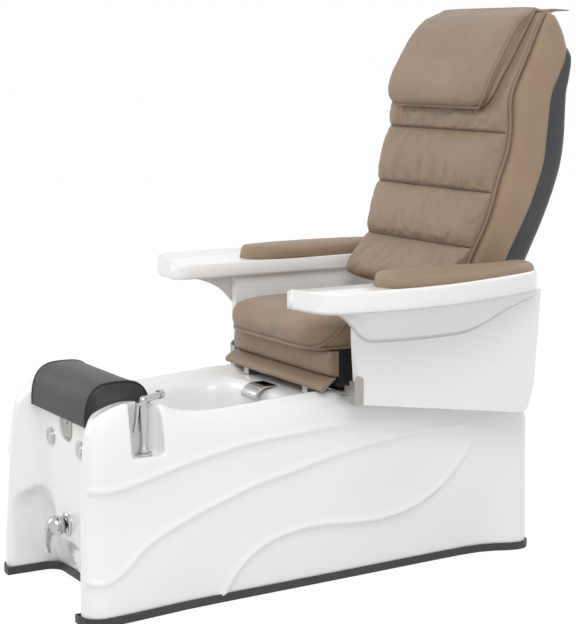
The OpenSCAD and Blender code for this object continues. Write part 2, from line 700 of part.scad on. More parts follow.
front_wall_y = front_y + front_wall_depth;
tap_neck_r = 17;
tap_ring_r = 29;
tap_ring_t = 6;
tap_bore_r = 9;
tap_dome_gap = 1;
valve_r = 22;
valve_l = 34;
pipe_r = 7;
pipe_x = 24;
bay_y = front_wall_y + notch_depth + bay_wall;
module mixer_escutcheon() {
  color("silver") translate([0, front_wall_y - tap_ring_t - seat_gap, tap_z])
    rotate([-90, 0, 0]) difference() {
      union() {
        rotate_extrude($fn = round_n) polygon([[tap_bore_r, tap_ring_t * 0.85],
          [tap_ring_r * 0.68, tap_ring_t * 0.85], [tap_ring_r * 0.76, 0],
          [tap_ring_r * 0.88, 0], [tap_ring_r, tap_ring_t / 2],
          [tap_ring_r, tap_ring_t], [tap_bore_r, tap_ring_t]]);
        translate([0, 0, tap_ring_t * 0.85]) rod(tap_neck_r,
          bay_y - front_wall_y + tap_ring_t * 0.15);
      }
      translate([0, 0, -over]) rod(tap_bore_r + run_fit, valve_l + 2 * tap_ring_t + 2 * over);
    }
}

module mixer_valve() {
  color("#b98b45") translate([0, bay_y + seat_gap, tap_z]) rotate([-90, 0, 0]) difference() {
    union() {
      rod(valve_r, valve_l);
      for (side = [-1, 1]) translate([side * pipe_x, 0, valve_l / 2])
        rod(pipe_r * 1.4, valve_l / 2);
    }
    translate([0, 0, -over]) rod(tap_bore_r + run_fit, valve_l / 2 + over);
  }
}

stem_tip = 8;
module mixer_stem() {
  y0 = front_wall_y - tap_ring_t - tap_dome_gap - tap_r * 0.8;
  color("silver") translate([0, y0, tap_z]) rotate([-90, 0, 0]) {
    rod(tap_bore_r, tap_r * 0.8 + tap_dome_gap + tap_ring_t + notch_depth + bay_wall + valve_l / 3);
    rotate([0, 90, 0]) translate([0, 0, -tap_bore_r - stem_tip / 2])
      rod(stem_tip / 2, 2 * tap_bore_r + stem_tip);
  }
}

handle_l = 62;
handle_w = 17;
handle_t = 7;
module mixer_handle() {
  yc = front_wall_y - tap_ring_t - tap_dome_gap - tap_r * 0.8;
  hole_r = tap_bore_r + tap_dome_gap;
  color("silver") difference() {
    union() {
      translate([0, yc, tap_z]) rotate([-90, 0, 0]) rotate_extrude($fn = round_n)
        polygon(concat([[0, -tap_r], [0, tap_r * 0.78]],
          [for (a = [51:-7.05:-90]) tap_r * [cos(a), sin(a)]]));
      across(-handle_w / 2, handle_w / 2) polygon([[yc - tap_r * 0.9, tap_z + tap_r * 0.3],
        [yc - tap_r - handle_t * 0.7, tap_z - tap_r * 0.3],
        [yc - tap_r - handle_t, tap_z - handle_l * 0.7],
        [yc - tap_r - handle_t * 0.2, tap_z - handle_l],
        [yc - tap_r + handle_t, tap_z - handle_l],
        [yc - tap_r + handle_t * 0.4, tap_z - handle_l * 0.7],
        [yc - tap_r * 0.6, tap_z - tap_r * 0.7]]);
    }
    box([-hole_r, hole_r], [yc - hole_r, yc + 2 * tap_r], [tap_z - hole_r, tap_z + tap_r * 0.85]);
    translate([-hole_r - stem_tip / 2, yc, tap_z]) rotate([0, 90, 0])
      rod(stem_tip / 2 + run_fit, 2 * hole_r + stem_tip);
  }
}

pipe_low_z = 90;
pipe_reach = 205;
pipe_drop_y = front_y + pipe_reach;
pipe_short = 85;
pipe_end_y = rear_y - pipe_short;
module supply_pipes() {
  y0 = bay_y + seat_gap + valve_l + seat_gap;
  color("#c07a4a") for (side = [-1, 1]) translate([side * pipe_x * 1.6, 0, 0]) {
    translate([-side * pipe_x * 0.6, y0, tap_z]) rotate([-90, 0, 0])
      rod(pipe_r, pipe_drop_y - y0);
    translate([-side * pipe_x * 0.6, pipe_drop_y, tap_z]) sphere(r = pipe_r, $fn = round_n);
    translate([-side * pipe_x * 0.6, pipe_drop_y, pipe_low_z])
      rod(pipe_r, tap_z - pipe_low_z);
    translate([-side * pipe_x * 0.6, pipe_drop_y, pipe_low_z]) sphere(r = pipe_r, $fn = round_n);
    translate([0, pipe_drop_y, pipe_low_z]) rotate([0, -90 * side, 0])
      rod(pipe_r, pipe_r);
    translate([-side * pipe_x * 0.6, pipe_drop_y, pipe_low_z]) rotate([0, 90 * side, 0])
      rod(pipe_r, pipe_x * 0.6);
    translate([0, pipe_drop_y, pipe_low_z]) rotate([-90, 0, 0])
      rod(pipe_r, pipe_end_y - pipe_drop_y);
  }
}

// Push buttons

button_barrel_r = 18;
button_flange_r = 21.5;
button_flange_t = 4;
button_barrel_l = 40;
button_cap_l = 9;
button_stem_r = 4;
button_proud = 1;
module at_button() {
  translate([button_x, front_wall_y - seat_gap, button_z]) rotate([-90, 0, 0]) children();
}
module button_bezel() {
  at_button() difference() {
    union() {
      translate([0, 0, -button_flange_t]) rod(button_flange_r, button_flange_t);
      rod(button_barrel_r, button_barrel_l);
    }
    translate([0, 0, -button_flange_t - over]) rod(button_r + run_fit,
      button_flange_t + over + button_cap_l + button_travel);
    rod(button_stem_r + run_fit, button_barrel_l + over);
  }
}
module button_bezels() {
  color("silver") both() button_bezel();
}
module push_button() {
  color("#b9bcc2") at_button() {
    translate([0, 0, -button_flange_t - button_proud]) rod(button_r, button_cap_l);
    rod(button_stem_r, button_barrel_l * 0.8);
  }
}
module left_button() { push_button(); }
module right_button() { mirror([1, 0, 0]) push_button(); }

// Footrest

guide_half = 20;
guide_wall = 5.5;
guide_y = bay_y + seat_gap + guide_half;
guide_above = 80;
guide_l = saddle_z - tap_z - guide_above;
guide_flange_t = 6;
guide_flange_half = 50;
post_fit = 0.5;
module footrest_guide() {
  top = saddle_z;
  color("#8f9398") difference() {
    union() {
      box([-guide_half, guide_half], [guide_y - guide_half, guide_y + guide_half],
        [top - guide_l, top - seat_gap]);
      box([-guide_flange_half, guide_flange_half],
        [guide_y - guide_half, guide_y + guide_half],
        [top - shell_t - guide_flange_t - seat_gap, top - shell_t - seat_gap]);
    }
    box([-guide_half + guide_wall, guide_half - guide_wall],
      [guide_y - guide_half + guide_wall, guide_y + guide_half - guide_wall],
      [top - guide_l - over, top + over]);
  }
}

tongue_half = 28;
tongue_t = 4;
tongue_drop = 52;
plate_t = 3;
plate_half = 62;
plate_l = 112;
screw_r = 4;
module footrest_bracket() {
  post = guide_half - guide_wall - post_fit;
  tongue_y = front_wall_y + tongue_t;
  color("#7d7f80") {
    box([-post, post], [guide_y - post, guide_y + post],
      [saddle_z - guide_l + over, saddle_z + plate_t]);
    box([-plate_half, plate_half], [tongue_y, tongue_y + plate_l],
      [saddle_z + seat_gap, saddle_z + plate_t + seat_gap]);
    translate([0, tongue_y + tongue_t, 0]) rotate([90, 0, 0]) linear_extrude(tongue_t) {
      translate([-tongue_half, saddle_z - tongue_drop + tongue_half / 2])
        square([2 * tongue_half, tongue_drop - tongue_half / 2 + plate_t]);
      translate([-tongue_half / 2, saddle_z - tongue_drop])
        square([tongue_half, tongue_half]);
      for (side = [-1, 1]) translate([side * tongue_half / 2,
        saddle_z - tongue_drop + tongue_half / 2])
        circle(r = tongue_half / 2, $fn = round_n);
    }
    translate([0, tongue_y, saddle_z - tongue_drop / 3]) rotate([90, 0, 0])
      rod(screw_r, plate_t / 2);
  }
}

pad_reach = 48;
pad_front_y = front_y + pad_reach;
pad_power_share = 0.62;
pad_end_shares = [[-1, 0.9], [-0.985, 0.975], [-0.94, 1], [0, 1], [0.94, 1], [0.985, 0.975], [1, 0.9]];
module footrest_pad() {
  y_mid = pad_front_y + pad_d / 2;
  z0 = saddle_z + plate_t + 2 * seat_gap;
  h = pad_h;
  color("#3f3f42") loft([for (p = pad_end_shares) [for (a = [180:-15:0])
    [p[0] * pad_w / 2, y_mid - pad_d / 2 * p[1] * spow(cos(a), pad_power_share),
      z0 + h * (p[1] == 1 ? 1 : p[1]) * spow(sin(a), 0.72)]]]);
}

// Frame and seat rails

tube = 30;
frame_inset = 100;
frame_x = half_w - frame_inset;
frame_z = 22;
frame_gap = 2;
frame_reach = 240;
frame_front_y = front_y + frame_reach;
frame_short = 50;
frame_rear_y = rear_y - frame_short;
upright_lag = 108;
upright_front_y = seat_line + upright_lag;
upright_short = 170;
upright_rear_y = upright_front_y + seat_d - upright_short;
deck_in_share = 0.915;
module base_frame() {
  top = min([for (y = [upright_front_y, upright_rear_y]) min(deck_in_share * base_h,
    deck_z(share_at(y)), deck_z(share_at(y + 3 * tube)))]) - shell_t - frame_gap;
  color("#5b5f64") {
    both() {
      box([frame_x - tube / 2, frame_x + tube / 2], [frame_front_y, frame_rear_y],
        [frame_z, frame_z + tube]);
      for (y = [upright_front_y, upright_rear_y])
        box([frame_x - tube / 2, frame_x + tube / 2], [y, y + tube],
          [frame_z, top]);
    }
    for (y = [frame_front_y + tube, upright_front_y, frame_rear_y - tube])
      box([-frame_x, frame_x], [y, y + tube], [frame_z, frame_z + tube]);
    for (y = [upright_front_y, upright_rear_y])
      box([-frame_x, frame_x], [y, y + tube], [top - tube, top]);
    both() box([frame_x, post_x + post_w / 2], [hinge_y - tube / 2, hinge_y + tube / 2],
      [frame_z, frame_z + tube]);
  }
}

foot_r = 18;
foot_t = 8;
stud_r = 5;
module levelling_feet() {
  color("#2e2e30") both() for (y = [frame_front_y + tube, upright_front_y + tube / 2,
    frame_rear_y - tube]) translate([frame_x, y, 0]) {
      rod(foot_r, foot_t);
      rod(stud_r, frame_z - seat_gap);
    }
}

rail_w = 24;
rail_h = 22;
rail_lag = 26;
rail_front_y = seat_line + rail_lag;
rail_short = 40;
rail_l = seat_d - rail_short;
rail_z = deck_top + seat_gap;
module seat_rails() {
  color("#8f9398") both() box([frame_x - rail_w / 2, frame_x + rail_w / 2],
    [rail_front_y, rail_front_y + rail_l], [rail_z, rail_z + rail_h]);
}

ram_r = 14;
rod_r = 7;
ram_lag = 150;
ram_front_y = seat_line + ram_lag;
ram_short = 140;
ram_l = seat_d - ram_short;
ram_z = rail_z + ram_r;
rod_short = 200;
rod_l = seat_d - rod_short;
rod_lag = 94;
rod_front_y = seat_line + rod_lag;
module slide_actuator() {
  color("#2e2e30") difference() {
    union() {
      translate([0, ram_front_y, ram_z]) rotate([-90, 0, 0])
        rod(ram_r, ram_l);
      box([-2 * ram_r, 2 * ram_r], [ram_front_y + ram_l - 2 * ram_r, ram_front_y + ram_l],
        [rail_z, ram_z]);
    }
    translate([0, ram_front_y - over, ram_z]) rotate([-90, 0, 0])
      rod(rod_r + run_fit, rod_l + over);
  }
}
module actuator_rod() {
  color("silver") translate([0, rod_front_y, ram_z]) rotate([-90, 0, 0])
    rod(rod_r, rod_l);
}

// Seat

runner_t = 12;
lip_t = 5;
runner_lag = 40;
runner_front_y = seat_line + runner_lag;
runner_l = rail_l;
beam_w = 30;
beam_t = 15;
ear_lead = 34;
ear_x = frame_x + ear_lead;
ear_t = 9;
ear_r = 21;
pin_r = 8;
recline_at_y = front_y + recline_y;
runner_z = rail_z + rail_h + seat_gap;
beam_z = runner_z + runner_t;
module seat_carriage() {
  inner = frame_x - rail_w / 2;
  outer = frame_x + rail_w / 2;
  rear = runner_front_y + runner_l;
  color("#4a4d52") {
    both() {
      box([inner - lip_t - seat_gap, outer + lip_t + seat_gap], [runner_front_y, rear],
        [runner_z, beam_z]);
      for (x = [inner - lip_t - seat_gap, outer + seat_gap])
        box([x, x + lip_t], [runner_front_y, rear], [runner_z - rail_h * 0.6, beam_z]);
      difference() {
        across(ear_x, ear_x + ear_t) union() {
          polygon([[rear - 3 * ear_r, beam_z - runner_t], [rear, beam_z - runner_t],
            [recline_at_y + ear_r * 0.9, recline_z - ear_r * 0.5],
            [recline_at_y - ear_r * 0.9, recline_z + ear_r * 0.45]]);
          translate([recline_at_y, recline_z]) circle(r = ear_r, $fn = round_n);
        }
        translate([ear_x - over, recline_at_y, recline_z]) rotate([0, 90, 0])
          rod(pin_r + run_fit, ear_t + 2 * over);
      }
    }
    for (y = [rod_front_y - beam_w, rear - beam_w])
      box([-ear_x - ear_t, ear_x + ear_t], [y, y + beam_w], [beam_z, beam_z + beam_t]);
    box([-ram_r, ram_r], [rod_front_y - 2 * lip_t - seat_gap, rod_front_y - seat_gap],
      [ram_z - rod_r, beam_z + beam_t]);
  }
}

cover_lead = 50;
cover_x = frame_x + cover_lead;
cover_t = 34;
cover_lag = 71;
cover_front_y = seat_line + cover_lag;
cover_short = 90;
cover_l = seat_d - cover_short;
module seat_side_covers() {
  color("#1d1d1f") both() difference() {
    box([cover_x, cover_x + cover_t], [cover_front_y, cover_front_y + cover_l],
      [beam_z - runner_t, board_z - seat_gap]);
    box([cover_x - over, cover_x + cover_t - lip_t],
      [cover_front_y + lip_t, cover_front_y + cover_l - lip_t],
      [beam_z - runner_t - over, board_z - lip_t]);
  }
}

board_t = 13;
board_rear_y = front_y + seat_front + seat_d - 2 * board_t;
board_z = seat_z - board_t - seat_gap;
fascia_over = 10;
fascia_half = seat_w / 2 + fascia_over;
fascia_t = 32;
fascia_h = 62;
fascia_lag = 38;
fascia_y = seat_line + fascia_lag;
module seat_box() {
  color("#a5876c") {
    across(-fascia_half, fascia_half) polygon([[fascia_y, board_z + board_t],
      [fascia_y, board_z + board_t - fascia_h * 0.85],
      [fascia_y + fascia_t * 0.2, board_z + board_t - fascia_h],
      [fascia_y + fascia_t, board_z + board_t - fascia_h],
      [fascia_y + fascia_t, board_z + board_t]]);
    box([-cover_x - cover_t, cover_x + cover_t], [fascia_y + fascia_t / 2, board_rear_y],
      [board_z, board_z + board_t]);
    both() box([frame_x - rail_w, frame_x + rail_w],
      [fascia_y + 2 * fascia_t, fascia_y + 3 * fascia_t],
      [beam_z + seat_gap, board_z + board_t / 4]);
    both() box([frame_x - rail_w, frame_x + rail_w],
      [board_rear_y - 2.75 * fascia_t, board_rear_y - 1.75 * fascia_t],
      [beam_z + seat_gap, board_z + board_t / 4]);
  }
}

skirt_over = 16;
skirt_half = seat_w / 2 + skirt_over;
skirt_t = 7;
skirt_run = 40;
skirt_drop = 26;
module seat_skirt() {
  z_top = board_z + board_t - fascia_h - seat_gap;
  y_top = fascia_y + fascia_t * 0.45;
  color("#a5876c") across(-skirt_half, skirt_half)
    polygon([[y_top, z_top], [y_top + skirt_t, z_top],
      [y_top - skirt_run * 0.45 + skirt_t, z_top - skirt_drop * 0.55],
      [y_top - skirt_run + skirt_t, z_top - skirt_drop],
      [y_top - skirt_run, z_top - skirt_drop + skirt_t * 0.3],
      [y_top - skirt_run * 0.5, z_top - skirt_drop * 0.3]]);
}

// Seat cushion's outline at each height, as [height share, inset share of its depth]
seat_form_shares = [[0, 0.05], [0.06, 0.02], [0.25, 0], [0.55, 0.002], [0.76, 0.022],
  [0.88, 0.07], [0.95, 0.16], [0.985, 0.28], [1, 0.42]];
cushion_power_share = 0.3;
cushion_n = 44;
module seat_cushion() {
  y_mid = front_y + seat_front + seat_d / 2;
  color("#a5876c") loft([for (p = seat_form_shares) [for (i = [0:cushion_n - 1])
    let (a = 360 * (i + 0.5) / cushion_n, cut = p[1] * seat_d)
    [(seat_w / 2 - cut) * spow(cos(a), cushion_power_share),
      y_mid + (seat_d / 2 - cut) * spow(sin(a), cushion_power_share),
      seat_z + seat_t * p[0]]]]);
}

motor_r = 27;
motor_l = 110;
module recline_motor() {
  low = beam_z + beam_t + seat_gap;
  color("#2e2e30") {
    translate([ear_x - motor_l - seat_gap, recline_at_y, recline_z]) rotate([0, 90, 0])
      rod(motor_r, motor_l);
    across(ear_x - motor_l * 0.7, ear_x - motor_l * 0.3) polygon([[board_rear_y + seat_gap, low],
      [recline_at_y, low], [recline_at_y, recline_z - motor_r * 0.5],
      [recline_at_y - motor_r * 0.9, recline_z - motor_r * 0.3],
      [board_rear_y + seat_gap, mix(low, recline_z, 0.3)]]);
  }
}
pin_l = 34;
module recline_pins() {
  color("silver") both() translate([ear_x, recline_at_y, recline_z])
    rotate([0, 90, 0]) {
      rod(pin_r, pin_l);
      translate([0, 0, pin_l]) rod(pin_r * 1.5, lip_t);
    }
}

// Back

back_base_rise = 227;
back_base_z = deck_top + back_base_rise;
back_h = back_top - back_base_z;
// Piping line between the front pad and the sides: [height share, share of the back's height]
back_line_shares = [[0, -0.06], [0.115, -0.024], [0.255, 0.03], [0.403, 0.07], [0.5, 0.106],
  [0.577, 0.12], [0.7, 0.124], [0.824, 0.186], [0.948, 0.265], [1, 0.307]];
// Rear edge of the upholstered sides
back_rear_shares = [[0, 0.14], [0.104, 0.166], [0.259, 0.231], [0.352, 0.269], [0.448, 0.303],
  [0.538, 0.314], [0.628, 0.325], [0.71, 0.341], [0.77, 0.372], [0.817, 0.397],
  [0.859, 0.406], [0.913, 0.394], [0.966, 0.365], [1, 0.332]];
// Rear of the hard back cover
back_cover_shares = [[0, 0.25], [0.072, 0.273], [0.19, 0.321], [0.317, 0.363], [0.442, 0.401],
  [0.534, 0.417], [0.625, 0.42], [0.71, 0.421], [0.76, 0.428], [0.82, 0.43], [0.88, 0.42],
  [0.94, 0.4], [1, 0.36]];
// Front of the channelled pad
back_front_shares = [[0, -0.135], [0.03, -0.16], [0.07, -0.148], [0.132, -0.086], [0.17, -0.052],
  [0.2, -0.045], [0.283, -0.014], [0.368, 0.014], [0.476, 0.035], [0.56, 0.058],
  [0.66, 0.08], [0.72, 0.1], [0.824, 0.165], [0.948, 0.244], [1, 0.288]];
back_half_shares = [[0, 0.86], [0.15, 0.92], [0.35, 1], [0.7, 1], [0.85, 0.97], [1, 0.88]];
// Heights of the sewn channels and how deep they draw in
channel_at_shares = [0.165, 0.36, 0.57];
channel_depth = 16;
channel_w_share = 0.022;

function back_z(t) = back_base_z + back_h * t;
function back_y(table, t) = recline_at_y + back_h * along(table, t);
function back_half(t) = back_w / 2 * along(back_half_shares, t);
function channel_dip(t) = channel_depth
  * max([for (c = channel_at_shares) exp(-((t - c) / channel_w_share) ^ 2)]);

body_steps_share = [for (i = [0:20]) i / 20];
side_thick = 46;
body_power_share = 0.35;
module back_body() {
  color("#a5876c") moulding() difference() {
    union() {
      across(-pillow_w / 2 * 0.96, pillow_w / 2 * 0.96) polygon([
        [pillow_hinge_y - 2 * flap_t, back_top - 2 * flap_t],
        [pillow_hinge_y + seat_gap, back_top - seat_gap],
        [pillow_hinge_y + 2 * flap_t, back_top + flap_t], [flap_end, back_top + flap_t * 0.6],
        [flap_end, back_top - seat_gap], [pillow_hinge_y + 2 * flap_t, back_top - 2 * flap_t]]);
    loft([for (t = body_steps_share) let (a = back_y(back_line_shares, t),
      b = back_y(back_rear_shares, t), e = t == 0 || t == 1 ? side_thick * 0.2 : 0)
      [for (k = [0:27]) let (u = 360 * (k + 0.5) / 28)
        [(back_half(t) - e) * spow(cos(u), body_power_share),
          (a + b) / 2 + ((b - a) / 2 - e) * spow(sin(u), body_power_share),
          back_z(t)]]]);
    }
    loft([for (t = [-0.02, 0.15, 0.35, 0.55, 0.75, 0.93])
      let (w = max(back_half(t) - side_thick, side_bar_x + side_bar_t + seat_gap))
      let (a = back_y(back_line_shares, t) - side_thick)
      let (b = back_y(back_rear_shares, t) + side_thick)
      [[w, a, back_z(t)], [w, b, back_z(t)], [-w, b, back_z(t)], [-w, a, back_z(t)]]]);
  }
}

pad_inset = 5;
pad_n = 18;
back_pad_power_share = 0.4;
module back_pad() {
  steps = concat([0, 0.012], [for (c = [0.03:0.03:0.99]) c], [1]);
  color("#a5876c") loft([for (t = steps)
    let (rear = back_y(back_line_shares, t) - seat_gap, w = back_half(t) - pad_inset)
    let (front = min(back_y(back_front_shares, t) + channel_dip(t), rear - over))
    let (e = t == 0 || t == 1 ? 0.75 : 1)
    concat([for (k = [0:pad_n]) let (u = 180 * k / pad_n)
      [w * e * spow(cos(u), back_pad_power_share),
        rear - (rear - front) * e * spow(sin(u), back_pad_power_share) - over * 0.2,
        back_z(t)]],
      [[-w * e, rear, back_z(t)], [w * e, rear, back_z(t)]])]);
}

cover_inset = 12;
cover_wall = 5;
cover_power_share = 0.45;
function cover_ring(t, inset, lead) =
  let (a = back_y(back_rear_shares, t) + seat_gap, w = back_half(t) - cover_inset - inset)
  let (b = max(back_y(back_cover_shares, t), a + 2 * cover_wall) - inset)
  [for (k = [0:cover_n]) let (u = 180 * k / cover_n)
    [w * spow(cos(u), cover_power_share),
      a - lead + (b - a + lead) * spow(sin(u), cover_power_share), back_z(t)]];
cover_n = 16;
module back_shell() {
  color("#3a3b3f") moulding() difference() {
    loft([for (i = [0:19]) cover_ring(body_steps_share[i], 0, 0)]);
    loft([for (i = [1:2:17]) cover_ring(body_steps_share[i], cover_wall, over)]);
  }
}

side_bar_x = ear_x + ear_t + 10 * seat_gap;
side_bar_t = 9;
side_bar_w = 26;
frame_line_share = 0.72;
module back_frame() {
  rows = concat([[recline_at_y, recline_z]], [for (t = [0.02:0.07:0.9]) [mix(
    back_y(back_line_shares, t), back_y(back_rear_shares, t), frame_line_share), back_z(t)]]);
  n = len(rows);
  color("#4a4d52") {
    both() difference() {
      across(side_bar_x, side_bar_x + side_bar_t) union() {
        polygon(concat([for (p = rows) [p[0] - side_bar_w / 2, p[1]]],
          [for (i = [n - 1:-1:0]) [rows[i][0] + side_bar_w / 2, rows[i][1]]]));
        translate([recline_at_y, recline_z]) circle(r = ear_r, $fn = round_n);
      }
      translate([side_bar_x - over, recline_at_y, recline_z]) rotate([0, 90, 0])
        rod(pin_r + run_fit, side_bar_t + 2 * over);
    }
    for (i = [1, n - 1]) box([-side_bar_x - side_bar_t / 2, side_bar_x + side_bar_t / 2],
      [rows[i][0] - side_bar_w / 4, rows[i][0] + side_bar_w / 4],
      [rows[i][1] - side_bar_w / 2, rows[i][1] - side_bar_w / 8]);
  }
}

// Massage rails: straight rods that lean with the back
rod_x = 90;
rod_radius = 6;
rod_low_share = 0.13;
rod_high_share = 0.7;
rod_set_back = 93;
rod_low = [back_y(back_line_shares, rod_low_share) + rod_set_back, back_z(rod_low_share)];
rod_high = [back_y(back_line_shares, rod_high_share) + rod_set_back, back_z(rod_high_share)];
rod_lean = atan((rod_high[0] - rod_low[0]) / (rod_high[1] - rod_low[1]));
rod_span = norm(rod_high - rod_low);
bridge_t = 12;
bridge_w = 30;
module on_rods() {
  translate([0, rod_low[0], rod_low[1]]) rotate([-rod_lean, 0, 0]) children();
}
module massage_rails() {
  color("#8f9398") on_rods() {
    both() translate([rod_x, 0, 0]) rod(rod_radius, rod_span);
    for (z = [-bridge_t, rod_span])
      box([-side_bar_x + seat_gap, side_bar_x - seat_gap], [-bridge_w / 2, bridge_w / 2],
        [z, z + bridge_t]);
  }
}

carriage_half = 120;
carriage_t = 36;
carriage_l = 84;
carriage_start = 22;
shaft_r = 5;
shaft_ahead = 44;
arm_half_x = 30;
arm_w = 12;
module massage_carriage() {
  color("#2e2e30") on_rods() translate([0, 0, carriage_start]) difference() {
    union() {
      box([-carriage_half, carriage_half], [-carriage_t / 2, carriage_t / 2],
        [0, carriage_l]);
      both() box([arm_half_x - arm_w / 2, arm_half_x + arm_w / 2],
        [-shaft_ahead - 2 * shaft_r, 0], [carriage_l / 2 - 2 * shaft_r,
        carriage_l / 2 + 2 * shaft_r]);
    }
    both() translate([rod_x, 0, -over]) rod(rod_radius + run_fit, carriage_l + 2 * over);
    translate([-carriage_half, -shaft_ahead, carriage_l / 2]) rotate([0, 90, 0])
      rod(shaft_r + run_fit, 2 * carriage_half);
  }
}

roller_r = 23;
roller_w = 26;
module massage_rollers() {
  color("#c9c9cc") on_rods() translate([0, -shaft_ahead, carriage_start + carriage_l / 2])
    rotate([0, 90, 0]) {
      translate([0, 0, -rod_x + arm_w]) rod(shaft_r, 2 * (rod_x - arm_w));
      both_ends() translate([0, 0, arm_half_x + arm_w]) rotate_extrude($fn = round_n)
        polygon([[0, 0], [roller_r * 0.8, 0], [roller_r, roller_w * 0.3],
          [roller_r, roller_w * 0.7], [roller_r * 0.8, roller_w], [0, roller_w]]);
    }
}
module both_ends() {
  children();
  mirror([0, 0, 1]) children();
}

// Head pillow's front, from its lower edge to the top of the back
pillow_front_shares = [[0, 0.058], [0.03, 0.037], [0.12, 0.026], [0.3, 0.036], [0.5, 0.074],
  [0.7, 0.115], [0.85, 0.155], [0.95, 0.2], [1, 0.24]];
pillow_low_share = 0.655;
pillow_cap = 14;
pillow_gap = 2;
pillow_half_shares = [[0, 0.93], [0.05, 0.985], [0.15, 1], [0.7, 1], [0.9, 0.975], [1, 0.93]];
flap_t = 6;
flap_reach = 323;
flap_end = recline_at_y + flap_reach;
pillow_hinge_y = back_y(back_rear_shares, 1) - 2 * flap_t;
pillow_power_share = 0.36;
module head_pillow() {
  n = 18;
  steps = [0, 0.03, 0.08, 0.16, 0.28, 0.4, 0.52, 0.64, 0.76, 0.88, 0.96, 1];
  rear_top = back_y(back_front_shares, 1) - pillow_gap - 2 * seat_gap;
  rear_low = back_y(back_front_shares, 1 - pillow_cap / back_h) - pillow_gap - 2 * seat_gap;
  w_top = pillow_w / 2 * 0.93;
  color("#a5876c") moulding() union() {
    loft([for (s = steps) let (t = mix(pillow_low_share, 1, s))
      let (rear = back_y(back_front_shares, t) - pillow_gap,
        front = recline_at_y + back_h * along(pillow_front_shares, s),
        w = pillow_w / 2 * along(pillow_half_shares, s))
      concat([for (k = [0:n]) let (u = 180 * k / n)
        [w * spow(cos(u), pillow_power_share),
          rear - (rear - front) * spow(sin(u), pillow_power_share) - seat_gap,
          back_z(t)]], [[-w, rear, back_z(t)], [w, rear, back_z(t)]])]);
    across(-w_top, w_top) polygon([
      [recline_at_y + back_h * 0.25, back_top - pillow_cap],
      [recline_at_y + back_h * 0.268, back_top + pillow_cap * 0.6],
      [recline_at_y + back_h * 0.295, back_top + pillow_cap * 0.75],
      [pillow_hinge_y, back_top + 2 * seat_gap], [pillow_hinge_y, back_top + seat_gap],
      [rear_top, back_top + seat_gap], [rear_low, back_top - pillow_cap]]);
  }
}

// Arms

hinge_lead = 6;
hinge_x = arm_inner + hinge_lead;
hinge_lag = 113;
hinge_y = recline_at_y + hinge_lag;
panel_lead = 18;
panel_x = arm_inner + panel_lead;
tray_t = 40;
panel_top_z = tray_z - tray_t;
post_lead = 38;
post_x = frame_x + post_lead;
post_w = 24;
post_rise = 53;
post_top_z = base_h + post_rise;
knuckle_t = 12;
hinge_pin_r = 6;
knuckle_r = 12;
knuckle_drop = 59;
knuckle_rise = 25;
knuckle_low_z = base_h - knuckle_drop;
knuckle_high_z = base_h + knuckle_rise;
module arm_posts() {
  color("#5b5f64") both() difference() {
    union() {
      box([post_x - post_w / 2, post_x + post_w / 2],
        [hinge_y - post_w / 2, hinge_y + post_w / 2],
        [frame_z + tube + seat_gap, post_top_z]);
      for (z = [knuckle_low_z, knuckle_high_z]) {
        box([post_x, hinge_x], [hinge_y - knuckle_r, hinge_y + knuckle_r],
          [z, z + knuckle_t]);
        translate([hinge_x, hinge_y, z]) rod(knuckle_r, knuckle_t);
      }
    }
    translate([hinge_x, hinge_y, knuckle_low_z - over]) rod(hinge_pin_r + run_fit,
      knuckle_high_z - knuckle_low_z + knuckle_t + 2 * over);
  }
}

// Side panel seen from the side
panel_lag = 71;
panel_front_y = seat_line + panel_lag;
panel_rake = 11;
panel_hang = 48;
panel_low_front = [panel_front_y + panel_rake, base_h - panel_hang];
panel_waist_rise = 110;
panel_waist_z = base_h + panel_waist_rise;
// Rear corners of the panel, from the hinge and the base's shoulders
panel_rear_points = [[-22, -117], [-4, -114], [6, -105], [22, -55]];
panel_top_point = [40, -2];
module arm_panel() {
  color("white") difference() {
    union() {
      across(panel_x, panel_x + panel_t) polygon(concat(
        [[panel_front_y, panel_top_z - seat_gap], [panel_front_y, panel_waist_z],
          panel_low_front],
        [for (p = panel_rear_points) [hinge_y + p[0], base_h + p[1]]],
        [[hinge_y + panel_top_point[0], panel_top_z + panel_top_point[1]]]));
      for (z = [knuckle_low_z + knuckle_t + seat_gap, knuckle_high_z - knuckle_t - seat_gap]) {
        translate([hinge_x, hinge_y, z]) rod(knuckle_r, knuckle_t);
        box([hinge_x, panel_x + over], [hinge_y - knuckle_r, hinge_y + knuckle_r],
          [z, z + knuckle_t]);
      }
    }
    translate([hinge_x, hinge_y, knuckle_low_z]) rod(hinge_pin_r + run_fit,
      knuckle_high_z - knuckle_low_z);
    translate([hinge_x, hinge_y, knuckle_high_z - seat_gap])
      rod(knuckle_r + seat_gap, knuckle_t + 2 * seat_gap);
    translate([hinge_x, hinge_y, knuckle_low_z - seat_gap])
      rod(knuckle_r + seat_gap, knuckle_t + 2 * seat_gap);
  }
}
module left_arm_panel() { arm_panel(); }
module right_arm_panel() { mirror([1, 0, 0]) arm_panel(); }

// Tray, from front to back: outer edge and inner edge as shares of its width
tray_ahead = 179;
tray_front_y = panel_front_y - tray_ahead;
tray_behind = 14;
tray_rear_y = hinge_y + tray_behind;
tray_outer_shares = [[0, 0.25], [0.012, 0.67], [0.035, 0.836], [0.08, 0.918], [0.2, 0.977],
  [0.33, 1], [0.5, 0.942], [0.7, 0.766], [0.88, 0.555], [0.96, 0.415], [1, 0.275]];
tray_inner_shares = [[0, 0.11], [0.012, 0.04], [0.035, 0.006], [0.08, 0], [1, 0]];
